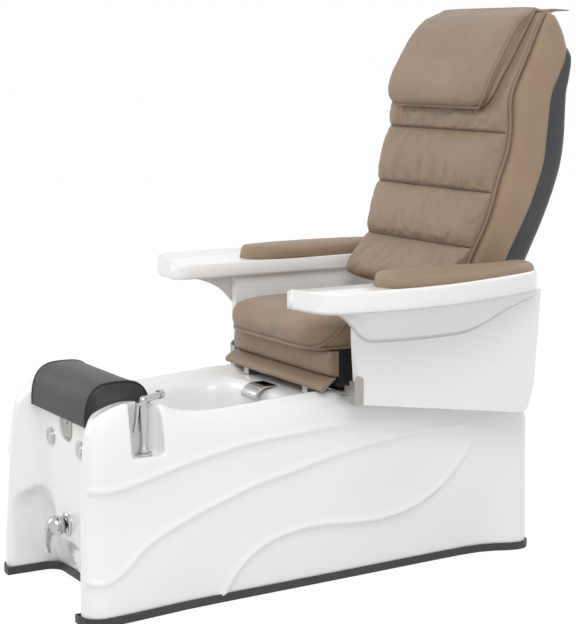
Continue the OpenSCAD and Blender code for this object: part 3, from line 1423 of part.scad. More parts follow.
// How far the underside flares down to the panel, from 0 to 1
flare_shares = [[0, 0], [0.1, 0.04], [0.2, 0.35], [0.27, 0.85], [0.32, 1], [0.68, 1],
  [0.78, 0.82], [0.88, 0.5], [1, 0.2]];
flare_drop = 98;
rim_up = 13;
rim_w = 14;
rim_r = 4;
dish_drop = 7;
module arm_tray() {
  steps = [0, 0.012, 0.035, 0.08, 0.14, 0.2, 0.25, 0.3, 0.36, 0.45, 0.55, 0.65, 0.72, 0.8,
    0.88, 0.94, 0.98, 1];
  low = tray_z - tray_t;
  seat = [for (s = armpad_steps_share) [armpad_half * along(armpad_half_shares, s) + lip_t / 2,
    mix(armpad_front_y - lip_t / 2, armpad_front_y + armpad_l + lip_t / 2, s), s]];
  n = len(seat);
  color("white") moulding() difference() {
    loft([for (s = steps)
      let (y = mix(tray_front_y, tray_rear_y, s))
      let (xo = arm_inner + tray_w * along(tray_outer_shares, s),
        xi = arm_inner + tray_w * along(tray_inner_shares, s))
      let (f = flare_drop * along(flare_shares, s), e = s == 0 || s == 1 ? 0.6 : 1)
      let (px = panel_x + panel_t, near = f > 1 ? panel_x : mix(xi, xo, 0.1))
      [[xi, y, tray_z - tray_t * (1 - e)], [xi, y, low + tray_t * 0.15],
        [near, y, low], [px + seat_gap, y, low], [px + seat_gap + lip_t * 0.1, y, low - f],
        [px + lip_t * 0.4 + (xo - px) * 0.35, y, low - f * 0.62],
        [px + (xo - px) * 0.75, y, low - f * 0.2],
        [xo - rim_r, y, low + rim_r / 4], [xo, y, low + tray_t * 0.3],
        [xo, y, tray_z + (rim_up - rim_r) * e], [xo - rim_r, y, tray_z + rim_up * e],
        [xo - rim_w, y, tray_z + (rim_up - rim_r) * e], [mix(xi, xo, 0.6), y, tray_z],
        [xi + rim_r, y, tray_z]]]);
    translate([0, 0, tray_z]) linear_extrude(rim_up + over) polygon(concat(
      [for (p = seat) [armpad_x + armpad_drift * p[2] - p[0], p[1]]],
      [for (i = [n - 1:-1:0]) [armpad_x + armpad_drift * seat[i][2] + seat[i][0], seat[i][1]]]));
  }
}
module left_arm_tray() { arm_tray(); }
module right_arm_tray() { mirror([1, 0, 0]) arm_tray(); }

armpad_lag = 228;
armpad_front_y = tray_front_y + armpad_lag;
armpad_lead = 64;
armpad_x = arm_inner + armpad_lead;
armpad_drift = 8;
armpad_half_shares = [[0, 0.3], [0.02, 0.55], [0.06, 0.78], [0.14, 0.95], [0.28, 1], [0.5, 0.95],
  [0.75, 0.82], [0.92, 0.7], [0.98, 0.5], [1, 0.3]];
armpad_half = 63;
armpad_steps_share = [0, 0.02, 0.06, 0.14, 0.28, 0.45, 0.6, 0.75, 0.86, 0.93, 0.98, 1];
armpad_hem = 1;
module arm_pad() {
  n = 20;
  z0 = tray_z + seat_gap;
  color("#9c7450") loft([for (s = armpad_steps_share)
    let (w = armpad_half * along(armpad_half_shares, s),
      h = armpad_t * min(1, along(armpad_half_shares, s) + 0.35))
    concat([for (k = [0:n]) let (u = 180 * k / n)
      [armpad_x + armpad_drift * s + w * spow(cos(u), 0.55), armpad_front_y + armpad_l * s,
        z0 + armpad_hem + (h - armpad_hem) * spow(sin(u), 0.7)]],
      [[armpad_x + armpad_drift * s - w * 0.94, armpad_front_y + armpad_l * s, z0],
        [armpad_x + armpad_drift * s + w * 0.94, armpad_front_y + armpad_l * s, z0]])]);
}
module left_arm_pad() { arm_pad(); }
module right_arm_pad() { mirror([1, 0, 0]) arm_pad(); }

clip_t = 3;
clip_w = 22;
clip_h = 70;
clip_foot = 20;
module arm_bracket() {
  x0 = panel_x + panel_t + seat_gap;
  y0 = panel_front_y - clip_t - seat_gap;
  z0 = panel_low_front[1];
  r = (clip_w + clip_t) / 2;
  color("#6f7173") {
    across(x0, x0 + clip_t) polygon(concat([[y0, z0], [y0 + 2 * r, z0]],
      [for (a = [0:15:180]) [y0 + r + r * cos(a), z0 + clip_h - r + r * sin(a)]]));
    box([panel_x, x0 + clip_t], [y0, y0 + clip_t], [z0, z0 + clip_h - r]);
    box([catch_end_x + seat_gap, x0 + clip_t], [y0, y0 + clip_t],
      [catch_z - clip_t, catch_z + clip_foot]);
  }
}
module left_arm_bracket() { arm_bracket(); }
module right_arm_bracket() { mirror([1, 0, 0]) arm_bracket(); }

catch_inset = 54;
catch_in_x = half_w - catch_inset;
catch_over = 18;
catch_end_x = half_w + catch_over;
catch_w = 24;
catch_t = 4;
catch_z = crest_z(share_at(panel_front_y)) + seat_gap;
module arm_catches() {
  y0 = panel_front_y - catch_w / 2;
  color("#8f9398") both() {
    box([catch_in_x, catch_end_x], [y0, y0 + catch_w], [catch_z, catch_z + catch_t]);
    box([catch_end_x - catch_t, catch_end_x], [y0, y0 + catch_w],
      [catch_z - 2 * catch_t, catch_z + catch_t]);
  }
}

module arm_pins() {
  color("silver") translate([hinge_x, hinge_y, knuckle_low_z - lip_t]) {
    rod(hinge_pin_r, knuckle_high_z - knuckle_low_z + knuckle_t + lip_t);
    rod(hinge_pin_r * 1.5, lip_t - seat_gap);
  }
}
module left_arm_pins() { arm_pins(); }
module right_arm_pins() { mirror([1, 0, 0]) arm_pins(); }

base_shell();
base_trim();
basin();
base_frame();
levelling_feet();
drain_strainer();
drain_pipe();
jet_housing();
jet_impeller();
jet_cover();
waterfall_spout();
sprayer_collar();
sprayer_body();
sprayer_lever();
mixer_valve();
mixer_escutcheon();
mixer_stem();
mixer_handle();
supply_pipes();
button_bezels();
left_button();
right_button();
footrest_guide();
footrest_bracket();
footrest_pad();
seat_rails();
slide_actuator();
actuator_rod();
seat_carriage();
seat_side_covers();
seat_box();
seat_skirt();
seat_cushion();
recline_motor();
recline_pins();
back_frame();
back_shell();
back_body();
back_pad();
massage_rails();
massage_carriage();
massage_rollers();
head_pillow();
arm_posts();
arm_catches();
left_arm_panel();
left_arm_tray();
left_arm_pad();
left_arm_bracket();
left_arm_pins();
right_arm_panel();
right_arm_tray();
right_arm_pad();
right_arm_bracket();
right_arm_pins();
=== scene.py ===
"""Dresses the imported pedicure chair: shell, upholstery, fittings, materials, light and camera."""
import bpy
import bmesh
import math
import numpy as np
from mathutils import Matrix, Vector


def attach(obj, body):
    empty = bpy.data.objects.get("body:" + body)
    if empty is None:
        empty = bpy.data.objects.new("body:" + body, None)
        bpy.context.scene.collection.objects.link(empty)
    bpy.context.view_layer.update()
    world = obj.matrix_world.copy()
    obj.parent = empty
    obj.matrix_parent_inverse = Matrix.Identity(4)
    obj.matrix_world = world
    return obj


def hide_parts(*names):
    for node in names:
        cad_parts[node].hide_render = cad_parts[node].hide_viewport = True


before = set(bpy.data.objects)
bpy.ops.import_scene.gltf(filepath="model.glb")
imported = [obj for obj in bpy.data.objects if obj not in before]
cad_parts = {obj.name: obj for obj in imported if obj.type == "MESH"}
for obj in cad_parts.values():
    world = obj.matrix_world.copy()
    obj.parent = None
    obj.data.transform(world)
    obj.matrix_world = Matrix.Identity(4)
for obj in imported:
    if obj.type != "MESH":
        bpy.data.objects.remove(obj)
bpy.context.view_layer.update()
scene = bpy.context.scene
MM = 0.001
SIDES = ((1, "left"), (-1, "right"))

# curves and small helpers


def along(table, s):
    """Smooth curve through the rows (place, value), the same as the part's own."""
    t = np.array(table, float)
    s = np.clip(np.asarray(s, float), t[0, 0], t[-1, 0])
    i = np.clip(np.searchsorted(t[:, 0], s, side="right") - 1, 0, len(t) - 2)
    a, b = t[i], t[i + 1]
    prev, nxt = t[np.maximum(i - 1, 0)], t[np.minimum(i + 2, len(t) - 1)]
    w = b[..., 0] - a[..., 0]
    lo = np.where((i > 0)[..., None], prev, a)
    hi = np.where((i < len(t) - 2)[..., None], nxt, b)
    ma = w * (b[..., 1] - lo[..., 1]) / (b[..., 0] - lo[..., 0])
    mb = w * (hi[..., 1] - a[..., 1]) / (hi[..., 0] - a[..., 0])
    u = (s - a[..., 0]) / w
    return ((2 * u**3 - 3 * u**2 + 1) * a[..., 1] + (u**3 - 2 * u**2 + u) * ma
            + (3 * u**2 - 2 * u**3) * b[..., 1] + (u**3 - u**2) * mb)


def unit(v):
    return np.clip(v, 0, 1)


def ease(t):
    u = unit(t)
    return u * u * (3 - 2 * u)


def spow(v, e):
    return np.sign(v) * np.abs(v) ** e


def bell(d, w):
    return np.exp(-(d / w) ** 2)


def noise(x, y, z=0.0, seed=0):
    """Smooth value noise in -1..1 on arrays, the same on every run."""
    p = np.stack(np.broadcast_arrays(np.asarray(x, float), y, z), -1)
    i = np.floor(p).astype(np.int64)
    f = p - i
    f = f * f * (3 - 2 * f)
    out = 0
    for corner in np.ndindex(2, 2, 2):
        w, n = 1.0, seed * 2654435
        for k, prime in enumerate((73856093, 19349663, 83492791)):
            w = w * (f[..., k] if corner[k] else 1 - f[..., k])
            n = n ^ ((i[..., k] + corner[k]) * prime)
        n = (n * 1103515245 + 12345) & 0x7FFFFFFF
        n = ((n >> 13) ^ n) * 60493 & 0x7FFFFFFF
        out = out + w * (n / 0x3FFFFFFF - 1.0)
    return out


def dress(obj, material):
    obj.data.materials.clear()
    obj.data.materials.append(material)


def new_object(name, mesh, material=None):
    obj = bpy.data.objects.new(name, mesh)
    scene.collection.objects.link(obj)
    if material:
        dress(obj, material)
    return obj


def build(name, verts, faces, material=None, smooth=True):
    """An object from millimetre vertices."""
    mesh = bpy.data.meshes.new(name)
    mesh.from_pydata((np.asarray(verts, float) * MM).tolist(), [], [tuple(int(i) for i in f) for f in faces])
    mesh.update()
    obj = new_object(name, mesh, material)
    return smooth_all(obj) if smooth else obj


def ring_faces(m, n):
    """Quads between m rings of n points."""
    return [(r * n + c, r * n + (c + 1) % n, (r + 1) * n + (c + 1) % n, (r + 1) * n + c)
            for r in range(m - 1) for c in range(n)]


def loft(name, rings, material=None, smooth=True):
    """Closed solid through rings of equal count, with triangulated caps."""
    rings = np.asarray(rings, float)
    m, n = rings.shape[:2]
    faces = ring_faces(m, n) + [tuple(range(n))[::-1], tuple(range((m - 1) * n, m * n))]
    obj = build(name, rings.reshape(-1, 3), faces, material, smooth)
    bm = bmesh.new()
    bm.from_mesh(obj.data)
    bmesh.ops.recalc_face_normals(bm, faces=bm.faces)
    ngons = [f for f in bm.faces if len(f.verts) > 4]
    bmesh.ops.triangulate(bm, faces=ngons, ngon_method="EAR_CLIP")
    bm.to_mesh(obj.data)
    bm.free()
    if smooth:
        smooth_all(obj)
    return obj


def prism(outline, lo, hi, axis="z"):
    """Solid from a 2D outline: axis z takes (x, y), axis x takes (y, z), axis y takes (x, z)."""
    ring, at = np.asarray(outline, float), "xyz".index(axis)
    return loft("cutter", [np.insert(ring, at, v, axis=1) for v in (lo, hi)], smooth=False)


def block(x, y, z):
    return prism([(x[0], y[0]), (x[1], y[0]), (x[1], y[1]), (x[0], y[1])], z[0], z[1])


def rod(centre, r, lo, hi, axis="z"):
    a = np.linspace(0, 2 * np.pi, 64, endpoint=False)
    return prism(np.stack([centre[0] + r * np.cos(a), centre[1] + r * np.sin(a)], -1), lo, hi, axis)


def hull_of(points):
    mesh = bpy.data.meshes.new("cutter")
    bm = bmesh.new()
    for p in points:
        bm.verts.new(Vector(p) * MM)
    bmesh.ops.convex_hull(bm, input=bm.verts)
    loose = [v for v in bm.verts if not v.link_faces]
    bmesh.ops.delete(bm, geom=loose, context="VERTS")
    bmesh.ops.recalc_face_normals(bm, faces=bm.faces)
    bm.to_mesh(mesh)
    bm.free()
    return new_object("cutter", mesh)


def bake(obj):
    """Applies the modifiers to the mesh."""
    dg = bpy.context.evaluated_depsgraph_get()
    mesh = bpy.data.meshes.new_from_object(obj.evaluated_get(dg))
    old = obj.data
    obj.modifiers.clear()
    obj.data = mesh
    mesh.name = obj.name
    bpy.data.meshes.remove(old)
    return obj


def drop(obj):
    mesh = obj.data
    bpy.data.objects.remove(obj)
    bpy.data.meshes.remove(mesh)


def combine(target, others, operation="DIFFERENCE"):
    for other in others:
        m = target.modifiers.new("boolean", "BOOLEAN")
        m.object = other
        m.operation = operation
        m.solver = "MANIFOLD"
        bake(target)
        drop(other)
    return target


def fetch(items, field, width=3, kind=float):
    values = np.empty(len(items) * width, kind)
    items.foreach_get(field, values)
    return values.reshape(-1, width)


def coords(obj):
    return fetch(obj.data.vertices, "co") / MM


def set_coords(obj, co):
    obj.data.vertices.foreach_set("co", (np.asarray(co) * MM).ravel())
    obj.data.update()


def normals(obj):
    return fetch(obj.data.vertex_normals, "vector")


def edges_of(obj):
    return fetch(obj.data.edges, "vertices", 2, np.int64)


def relax(obj, rounds, weight=None, factor=0.5):
    """Laplacian smoothing, by a weight for each vertex."""
    co, e = coords(obj), edges_of(obj)
    n = len(co)
    count = np.bincount(e.ravel(), minlength=n).astype(float)[:, None]
    w = factor if weight is None else factor * weight[:, None]
    for _ in range(rounds):
        total = np.stack([np.bincount(e[:, 0], co[e[:, 1], k], n) + np.bincount(e[:, 1], co[e[:, 0], k], n)
                          for k in range(3)], -1)
        co = co + w * (total / count - co)
    set_coords(obj, co)
    return obj


def voxel(obj, size):
    m = obj.modifiers.new("remesh", "REMESH")
    m.mode = "VOXEL"
    m.voxel_size = size * MM
    m.use_smooth_shade = True
    return bake(obj)


def subdivide(obj, levels=1):
    m = obj.modifiers.new("subdivision", "SUBSURF")
    m.levels = m.render_levels = levels
    return bake(obj)


def smooth_all(obj):
    obj.data.polygons.foreach_set("use_smooth", [True] * len(obj.data.polygons))
    return obj


def tube(name, points, radius, material, closed=False, n=10):
    """Round bead along a path of millimetre points."""
    p = np.asarray(points, float)
    m = len(p)
    nxt = np.roll(p, -1, 0) if closed else np.vstack([p[1:], 2 * p[-1:] - p[-2:-1]])
    prv = np.roll(p, 1, 0) if closed else np.vstack([2 * p[:1] - p[1:2], p[:-1]])
    t = nxt - prv
    t /= np.linalg.norm(t, axis=1)[:, None]
    side = np.cross(t[0], [0.0, 0.0, 1.0] if abs(t[0][2]) < 0.9 else [1.0, 0.0, 0.0])
    a = np.linspace(0, 2 * np.pi, n, endpoint=False)
    rings = []
    for centre, ahead in zip(p, t):
        side = side - ahead * np.dot(side, ahead)
        side /= np.linalg.norm(side)
        up = np.cross(ahead, side)
        rings.append(centre + radius * (np.outer(np.cos(a), side) + np.outer(np.sin(a), up)))
    faces, last = ring_faces(m, n), (m - 1) * n
    if closed:
        faces += [(last + c, last + (c + 1) % n, (c + 1) % n, c) for c in range(n)]
    else:
        faces += [tuple(range(n))[::-1], tuple(range(last, m * n))]
    return build(name, np.array(rings).reshape(-1, 3), faces, material)


def arc_length(curve):
    return np.concatenate([[0], np.cumsum(np.linalg.norm(np.diff(curve, axis=0), axis=1))])


def even(curve, n=0, step=1.0):
    """The same curve with n points at even steps, or with points about one step apart."""
    curve = np.asarray(curve, float)
    d = arc_length(curve)
    s = np.linspace(0, d[-1], n or max(2, int(round(d[-1] / step)) + 1))
    return np.stack([np.interp(s, d, column) for column in curve.T], -1)


def stations(first, lo, hi, n, last):
    """Even places from lo to hi, with closer ones at both ends."""
    return np.concatenate([first, np.linspace(lo, hi, n), last])


def spread(half, n):
    """Places from -half to half that crowd towards both ends."""
    return half * np.sin(np.linspace(-np.pi / 2, np.pi / 2, n))


def level(plan, z):
    """Ring in the plane z from (x, y) points."""
    return np.column_stack([plan, np.full(len(plan), z)])


def upright(x, profile):
    """Ring in the plane x from (y, z) points."""
    return np.column_stack([np.full(len(profile), x), profile])


def crossways(ring, y, side):
    """Ring in the plane y from (x, z) points, on one side of the chair."""
    return np.column_stack([side * ring[:, 0], np.full(len(ring), y), ring[:, 1]])


def arch(x, y, half, rise, across, up, n):
    """Row of n points on half a squared circle, from x + half round to x - half."""
    u = np.radians(np.linspace(0, 180, 720))
    return even(np.stack([x + half * spow(np.cos(u), across), y + rise * np.abs(np.sin(u)) ** up], -1), n)


def shut(row, n, y):
    """The row with n even points at y, from its last end back to its first."""
    return np.vstack([row, level(np.linspace(row[-1, 0], row[0, 0], n + 2)[1:-1], y)])


def place(obj, body, *replaced, slot="leather_tan"):
    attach(obj, body)
    if replaced:
        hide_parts(*replaced)


def hold(count, n, k, whole):
    """Weights of a ring's vertices: 1 past the n face points, on k of them at each end, or on all."""
    h = np.full(count, float(whole))
    h[n:] = 1
    h[:k] = h[n - k:n] = 1
    return h


def inflate(obj, held, pressure, cap, slack, stiffness, bend):
    """Cloth under pressure, held at some vertices and capped in how far it may move."""
    frames = 20
    rest, held = coords(obj), np.round(np.concatenate(held), 2)
    group = obj.vertex_groups.new(name="held")
    for weight in np.unique(held[held > 0]):
        group.add(np.nonzero(held == weight)[0].tolist(), float(weight), "REPLACE")
    m = obj.modifiers.new("cloth", "CLOTH")
    s = m.settings
    s.quality, s.mass = 5, 0.3
    s.tension_stiffness = s.compression_stiffness = stiffness
    s.shear_stiffness = stiffness * 0.5
    s.bending_stiffness = bend
    s.tension_damping = s.compression_damping = 10
    s.use_pressure = True
    s.uniform_pressure_force = pressure
    s.shrink_min = -slack
    s.effector_weights.gravity = 0
    s.vertex_group_mass = "held"
    m.collision_settings.use_collision = False
    m.collision_settings.use_self_collision = False
    m.point_cache.frame_start = 1
    m.point_cache.frame_end = frames
    for f in range(1, frames + 1):
        scene.frame_set(f)
    puffed = obj.evaluated_get(bpy.context.evaluated_depsgraph_get())
    step = fetch(puffed.to_mesh().vertices, "co") / MM - rest
    puffed.to_mesh_clear()
    obj.modifiers.remove(m)
    obj.vertex_groups.clear()
    scene.frame_set(1)
    length = np.linalg.norm(step, axis=1)
    keep = cap * np.tanh(length / cap) / np.maximum(length, 1e-9)
    set_coords(obj, rest + step * keep[:, None])


# materials


def cleared(owner):
    owner.use_nodes = True
    owner.node_tree.nodes.clear()
    return owner.node_tree


def wire(nt, n, links, **values):
    """Links sockets to a node's inputs and sets others, an underscore standing for a space."""
    for key, socket in links.items():
        nt.links.new(socket, n.inputs[key])
    for key, value in values.items():
        n.inputs[key.replace("_", " ")].default_value = value
    return n


def node(nt, kind, links=(), props=(), **values):
    n = nt.nodes.new("ShaderNode" + kind)
    for key, value in dict(props).items():
        setattr(n, key, value)
    return wire(nt, n, dict(links), **values)


def material(name):
    m = bpy.data.materials.new(name)
    nt = cleared(m)
    bsdf = node(nt, "BsdfPrincipled")
    node(nt, "OutputMaterial", {0: bsdf.outputs[0]})
    return m, nt, bsdf, node(nt, "TexCoord").outputs["Object"]


def noise_node(nt, vector, scale, detail=3.0, rough=0.5, stretch=None):
    if stretch:
        vector = node(nt, "Mapping", {"Vector": vector}, Scale=stretch).outputs[0]
    return node(nt, "TexNoise", {"Vector": vector}, Scale=scale, Detail=detail,
                Roughness=rough).outputs["Fac"]


def ramp(nt, fac, stops):
    r = node(nt, "ValToRGB", {0: fac})
    el = r.color_ramp.elements
    while len(el) < len(stops):
        el.new(0.5)
    for e, (pos, col) in zip(el, stops):
        e.position = pos
        e.color = (col, col, col, 1) if np.isscalar(col) else (*col, 1)
    return r.outputs[0]


def shade(nt, fac, colour, low, high, start=0.3, end=0.7):
    """The colour, from darker to lighter along the noise."""
    c = np.array(colour)
    return ramp(nt, fac, [(start, tuple(c * low)), (end, tuple(np.minimum(c * high, 1)))])


def bump(nt, height, strength, distance, normal=None):
    links = {"Height": height, "Normal": normal} if normal else {"Height": height}
    return node(nt, "Bump", links, Strength=strength, Distance=distance).outputs[0]


def leather(name, colour, rough=0.48, grain=1.0):
    m, nt, bsdf, co = material(name)
    broad = noise_node(nt, co, 9.0, 4.0, 0.55)
    cells = node(nt, "TexVoronoi", {"Vector": co}, {"feature": "DISTANCE_TO_EDGE"}, Scale=620.0)
    pores = ramp(nt, cells.outputs["Distance"], [(0.0, 0.0), (0.22, 1.0)])
    mix = node(nt, "Mix", props={"data_type": "RGBA", "blend_type": "MULTIPLY"})
    mix.inputs[0].default_value = 0.10
    wire(nt, mix, {6: shade(nt, broad, colour, 0.93, 1.06), 7: pores})
    fine = bump(nt, noise_node(nt, co, 260.0, 3.0, 0.6), 0.25 * grain, 0.0006)
    skin = bump(nt, pores, 0.35 * grain, 0.0004, fine)
    soft = bump(nt, noise_node(nt, co, 26.0, 3.0, 0.5), 0.18, 0.004, skin)
    shine = ramp(nt, broad, [(0.2, rough + 0.05), (0.8, rough - 0.05)])
    wire(nt, bsdf, {"Base Color": mix.outputs[2], "Normal": soft, "Roughness": shine},
         Specular_IOR_Level=0.35, Sheen_Weight=0.08, Sheen_Roughness=0.5)
    return m


def moulded(name, colour, rough=0.25, coat=0.5, peel=0.03):
    m, nt, bsdf, co = material(name)
    broad = noise_node(nt, co, 4.0, 3.0, 0.5)
    ripple = noise_node(nt, co, 90.0, 2.0, 0.4)
    wire(nt, bsdf, {"Base Color": shade(nt, broad, colour, 0.97, 1.03, 0.0, 1.0),
                    "Roughness": ramp(nt, broad, [(0.0, rough + 0.04), (1.0, rough - 0.04)]),
                    "Normal": bump(nt, ripple, peel, 0.002)},
         Coat_Weight=coat, Coat_Roughness=0.08)
    return m


def metal(name, colour, rough, brushed=0.0, axis=(1, 1, 1)):
    m, nt, bsdf, co = material(name)
    fac = noise_node(nt, co, 240.0 if brushed else 30.0, 3.0, 0.6, stretch=axis)
    wire(nt, bsdf, {"Base Color": shade(nt, fac, colour, 0.94, 1.04),
                    "Roughness": ramp(nt, fac, [(0.2, rough * 0.8), (0.8, rough * 1.25)])}, Metallic=1.0)
    if brushed:
        wire(nt, bsdf, {"Normal": bump(nt, fac, brushed, 0.0005)})
    return m


def plastic(name, colour, rough=0.5, grain=0.2, scale=700.0):
    m, nt, bsdf, co = material(name)
    broad = noise_node(nt, co, 14.0, 3.0, 0.5)
    wire(nt, bsdf, {"Base Color": shade(nt, broad, colour, 0.88, 1.12),
                    "Roughness": ramp(nt, broad, [(0.2, rough + 0.04), (0.8, rough - 0.04)]),
                    "Normal": bump(nt, noise_node(nt, co, scale, 2.0, 0.6), grain, 0.0005)})
    return m


MAT = {
    "gelcoat": moulded("gelcoat_white", (0.90, 0.90, 0.895), 0.22, 0.5, 0.02),
    "arm_white": moulded("arm_white", (0.90, 0.896, 0.888), 0.26, 0.4, 0.02),
    "tan": leather("leather_tan", (0.312, 0.217, 0.148)),
    # painted light: the back's sides get a lighter copy of the pad's tan, as the side facing the lamps looks
    "tan_painted_light": leather("leather_tan_side", (0.362, 0.248, 0.160)),
    "arm_tan": leather("leather_brown", (0.340, 0.236, 0.152), 0.45),
    "piping": leather("leather_piping", (0.27, 0.187, 0.127), 0.45, 0.5),
    "arm_piping": leather("leather_brown_piping", (0.27, 0.182, 0.117), 0.45, 0.5),
    "seam": leather("leather_seam", (0.10, 0.068, 0.05), 0.6, 0.4),
    "charcoal": leather("leather_charcoal", (0.031, 0.029, 0.029), 0.45),
    "cover": plastic("cover_charcoal", (0.042, 0.042, 0.047), 0.5, 0.35, 500.0),
    "trim": plastic("trim_grey", (0.040, 0.037, 0.038), 0.5, 0.2),
    "black": plastic("cover_black", (0.012, 0.012, 0.013), 0.45, 0.2),
    "motor": plastic("motor_black", (0.020, 0.020, 0.022), 0.55, 0.3),
    "rubber": plastic("rubber_black", (0.015, 0.015, 0.015), 0.8, 0.3),
    "chrome": metal("chrome", (0.52, 0.52, 0.53), 0.09),
    "steel": metal("rail_steel", (0.50, 0.50, 0.51), 0.28, 0.15, (1, 0.05, 1)),
    "bracket": metal("bracket_steel", (0.42, 0.40, 0.375), 0.34, 0.15, (1, 1, 0.06)),
    "frame": plastic("frame_grey", (0.075, 0.08, 0.088), 0.45, 0.3, 300.0),
    "pipe_grey": plastic("pipe_grey", (0.55, 0.55, 0.55), 0.4, 0.1),
    "brass": metal("valve_brass", (0.72, 0.52, 0.26), 0.35, 0.1),
    "copper": metal("pipe_copper", (0.72, 0.40, 0.26), 0.3, 0.1),
    "cream": moulded("roller_cream", (0.6, 0.58, 0.52), 0.3, 0.3),
}

LOOKS = {
    "gelcoat": "base_shell basin jet_cover jet_housing",
    "arm_white": "left_arm_panel left_arm_tray right_arm_panel right_arm_tray",
    "trim": "base_trim",
    "frame": "base_frame arm_posts seat_carriage back_frame",
    "steel": "seat_rails footrest_guide massage_rails arm_catches",
    "bracket": "footrest_bracket left_arm_bracket right_arm_bracket",
    "pipe_grey": "drain_pipe jet_impeller",
    "rubber": "levelling_feet", "brass": "mixer_valve", "copper": "supply_pipes",
    "motor": "slide_actuator recline_motor massage_carriage",
    "black": "seat_side_covers", "cover": "back_shell", "cream": "massage_rollers",
}
NODE_LOOK = {name: look for look, names in LOOKS.items() for name in names.split()}
for node_name, node_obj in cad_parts.items():
    dress(node_obj, MAT[NODE_LOOK.get(node_name, "chrome")])

# base moulding and bath

FRONT_Y, BASE_L, HALF_W, BASE_H = -705.0, 1290.0, 250.0, 503.0
# how far the front wall and the toe hollows lie behind the front, and the slot behind the tongue plate
WALL_IN, TOE_IN, TOE_HALF = 68.0, 134.0, 215.0
WALL_Y, TOE_Y = FRONT_Y + WALL_IN, FRONT_Y + TOE_IN
SLOT_Y = WALL_Y + 18
# past the outline, for the cutters
BEFORE, ABOVE = FRONT_Y - 20, 700.0
# middles of the sprayer's pocket, as (x, y), and of the jet in the bath's rear wall, as (x, z)
POCKET, JET = (243, -538), (0, 268)
crest_t = [(0, 0.17), (0.004, 0.42), (0.01, 0.66), (0.018, 0.84), (0.03, 0.915), (0.048, 0.958),
           (0.08, 0.99), (0.115, 1), (0.16, 0.982), (0.182, 0.958), (0.205, 0.938), (0.265, 0.924),
           (0.335, 0.932), (0.42, 0.948), (0.46, 0.953), (0.55, 0.948), (0.7, 0.93), (0.84, 0.922),
           (0.9, 0.86), (0.97, 0.79), (0.99, 0.75), (1, 0.7)]
deck_t = [(0, 0.16), (0.004, 0.41), (0.01, 0.65), (0.018, 0.83), (0.03, 0.905), (0.048, 0.948),
          (0.08, 0.98), (0.115, 0.99), (0.16, 0.965), (0.182, 0.935), (0.205, 0.91), (0.235, 0.896),
          (0.295, 0.885), (0.37, 0.881), (0.43, 0.884), (0.46, 0.902), (0.49, 0.914), (0.54, 0.92),
          (0.55, 0.92), (0.8, 0.92), (0.81, 0.92), (0.84, 0.915), (0.9, 0.86), (0.97, 0.79),
          (0.99, 0.745), (1, 0.69)]
edge_t = [(0, 0.12), (0.004, 0.3), (0.01, 0.48), (0.018, 0.6), (0.03, 0.655), (0.048, 0.69),
          (0.08, 0.722), (0.165, 0.73), (0.23, 0.752), (0.335, 0.782), (0.44, 0.812), (0.51, 0.845),
          (0.57, 0.855), (0.7, 0.84), (0.82, 0.79), (0.9, 0.76), (0.97, 0.7), (0.99, 0.66), (1, 0.62)]
floor_half_t = [(0, 1.125), (0.08, 1.085), (0.16, 1.035), (0.22, 1), (0.55, 0.91), (0.83, 0.83),
                (0.885, 0.84), (0.92, 0.89), (0.95, 0.955), (0.975, 0.965), (1, 0.95)]
wall_half_t = [(0, 1.03), (0.08, 1.02), (0.22, 1), (0.55, 0.985), (0.85, 0.95), (1, 0.93)]
wave_lines = [
    ([(0, 0.63), (0.05, 0.618), (0.11, 0.642), (0.17, 0.68), (0.25, 0.724), (0.33, 0.757), (0.42, 0.773),
      (0.5, 0.785), (0.58, 0.785), (0.67, 0.771), (0.8, 0.755), (1, 0.7)],
     [(0, 1), (0.5, 1), (0.68, 0.1), (0.7, 0), (1, 0)]),
    ([(0, 0.207), (0.035, 0.2), (0.075, 0.245), (0.115, 0.33), (0.16, 0.39), (0.23, 0.458), (0.29, 0.508),
      (0.35, 0.556), (0.42, 0.59), (0.49, 0.632), (0.58, 0.668), (0.7, 0.7), (0.79, 0.704), (0.85, 0.7),
      (1, 0.66)],
     [(0, 1), (0.78, 1), (0.86, 0.1), (0.88, 0), (1, 0)]),
    ([(0, -0.2), (0.24, -0.05), (0.28, 0.045), (0.3, 0.115), (0.33, 0.195), (0.37, 0.255), (0.42, 0.292),
      (0.49, 0.306), (0.56, 0.29), (0.63, 0.287), (0.685, 0.308), (0.74, 0.362), (0.783, 0.44),
      (0.816, 0.53), (0.84, 0.6), (0.855, 0.64), (0.9, 0.8), (1, 1)],
     [(0, 0), (0.25, 0), (0.29, 1), (0.82, 1), (0.86, 0.1), (0.88, 0), (1, 0)]),
]
ROLL_W, FRONT_R, REAR_R = 66.0, 52.0, 45.0
BASIN_Y, BASIN_HALF, BASIN_FLOOR, BASIN_T, BASIN_POW = -290.0, 185.0, 170.0, 6.0, 0.42
basin_wall_t = [(0, 0), (0.03, 0.004), (0.08, 0.014), (0.2, 0.028), (0.45, 0.046), (0.7, 0.07),
                (0.86, 0.105), (0.95, 0.155), (1, 0.24)]


def corner_cut(d, r):
    d = np.clip(d, 0, r)
    return r - np.sqrt(r * r - (r - d) ** 2)


def plan_cut(s):
    return corner_cut(s * BASE_L, FRONT_R) + corner_cut((1 - s) * BASE_L, REAR_R)


def floor_half(s):
    return HALF_W * along(floor_half_t, s) - plan_cut(s)


def wall_half(s):
    return HALF_W * along(wall_half_t, s) - plan_cut(s)


def side_x(s, z):
    k = ease(z / (BASE_H * 0.55))
    return floor_half(s) * (1 - k) + wall_half(s) * k


def deck_z(s):
    return BASE_H * along(deck_t, s)


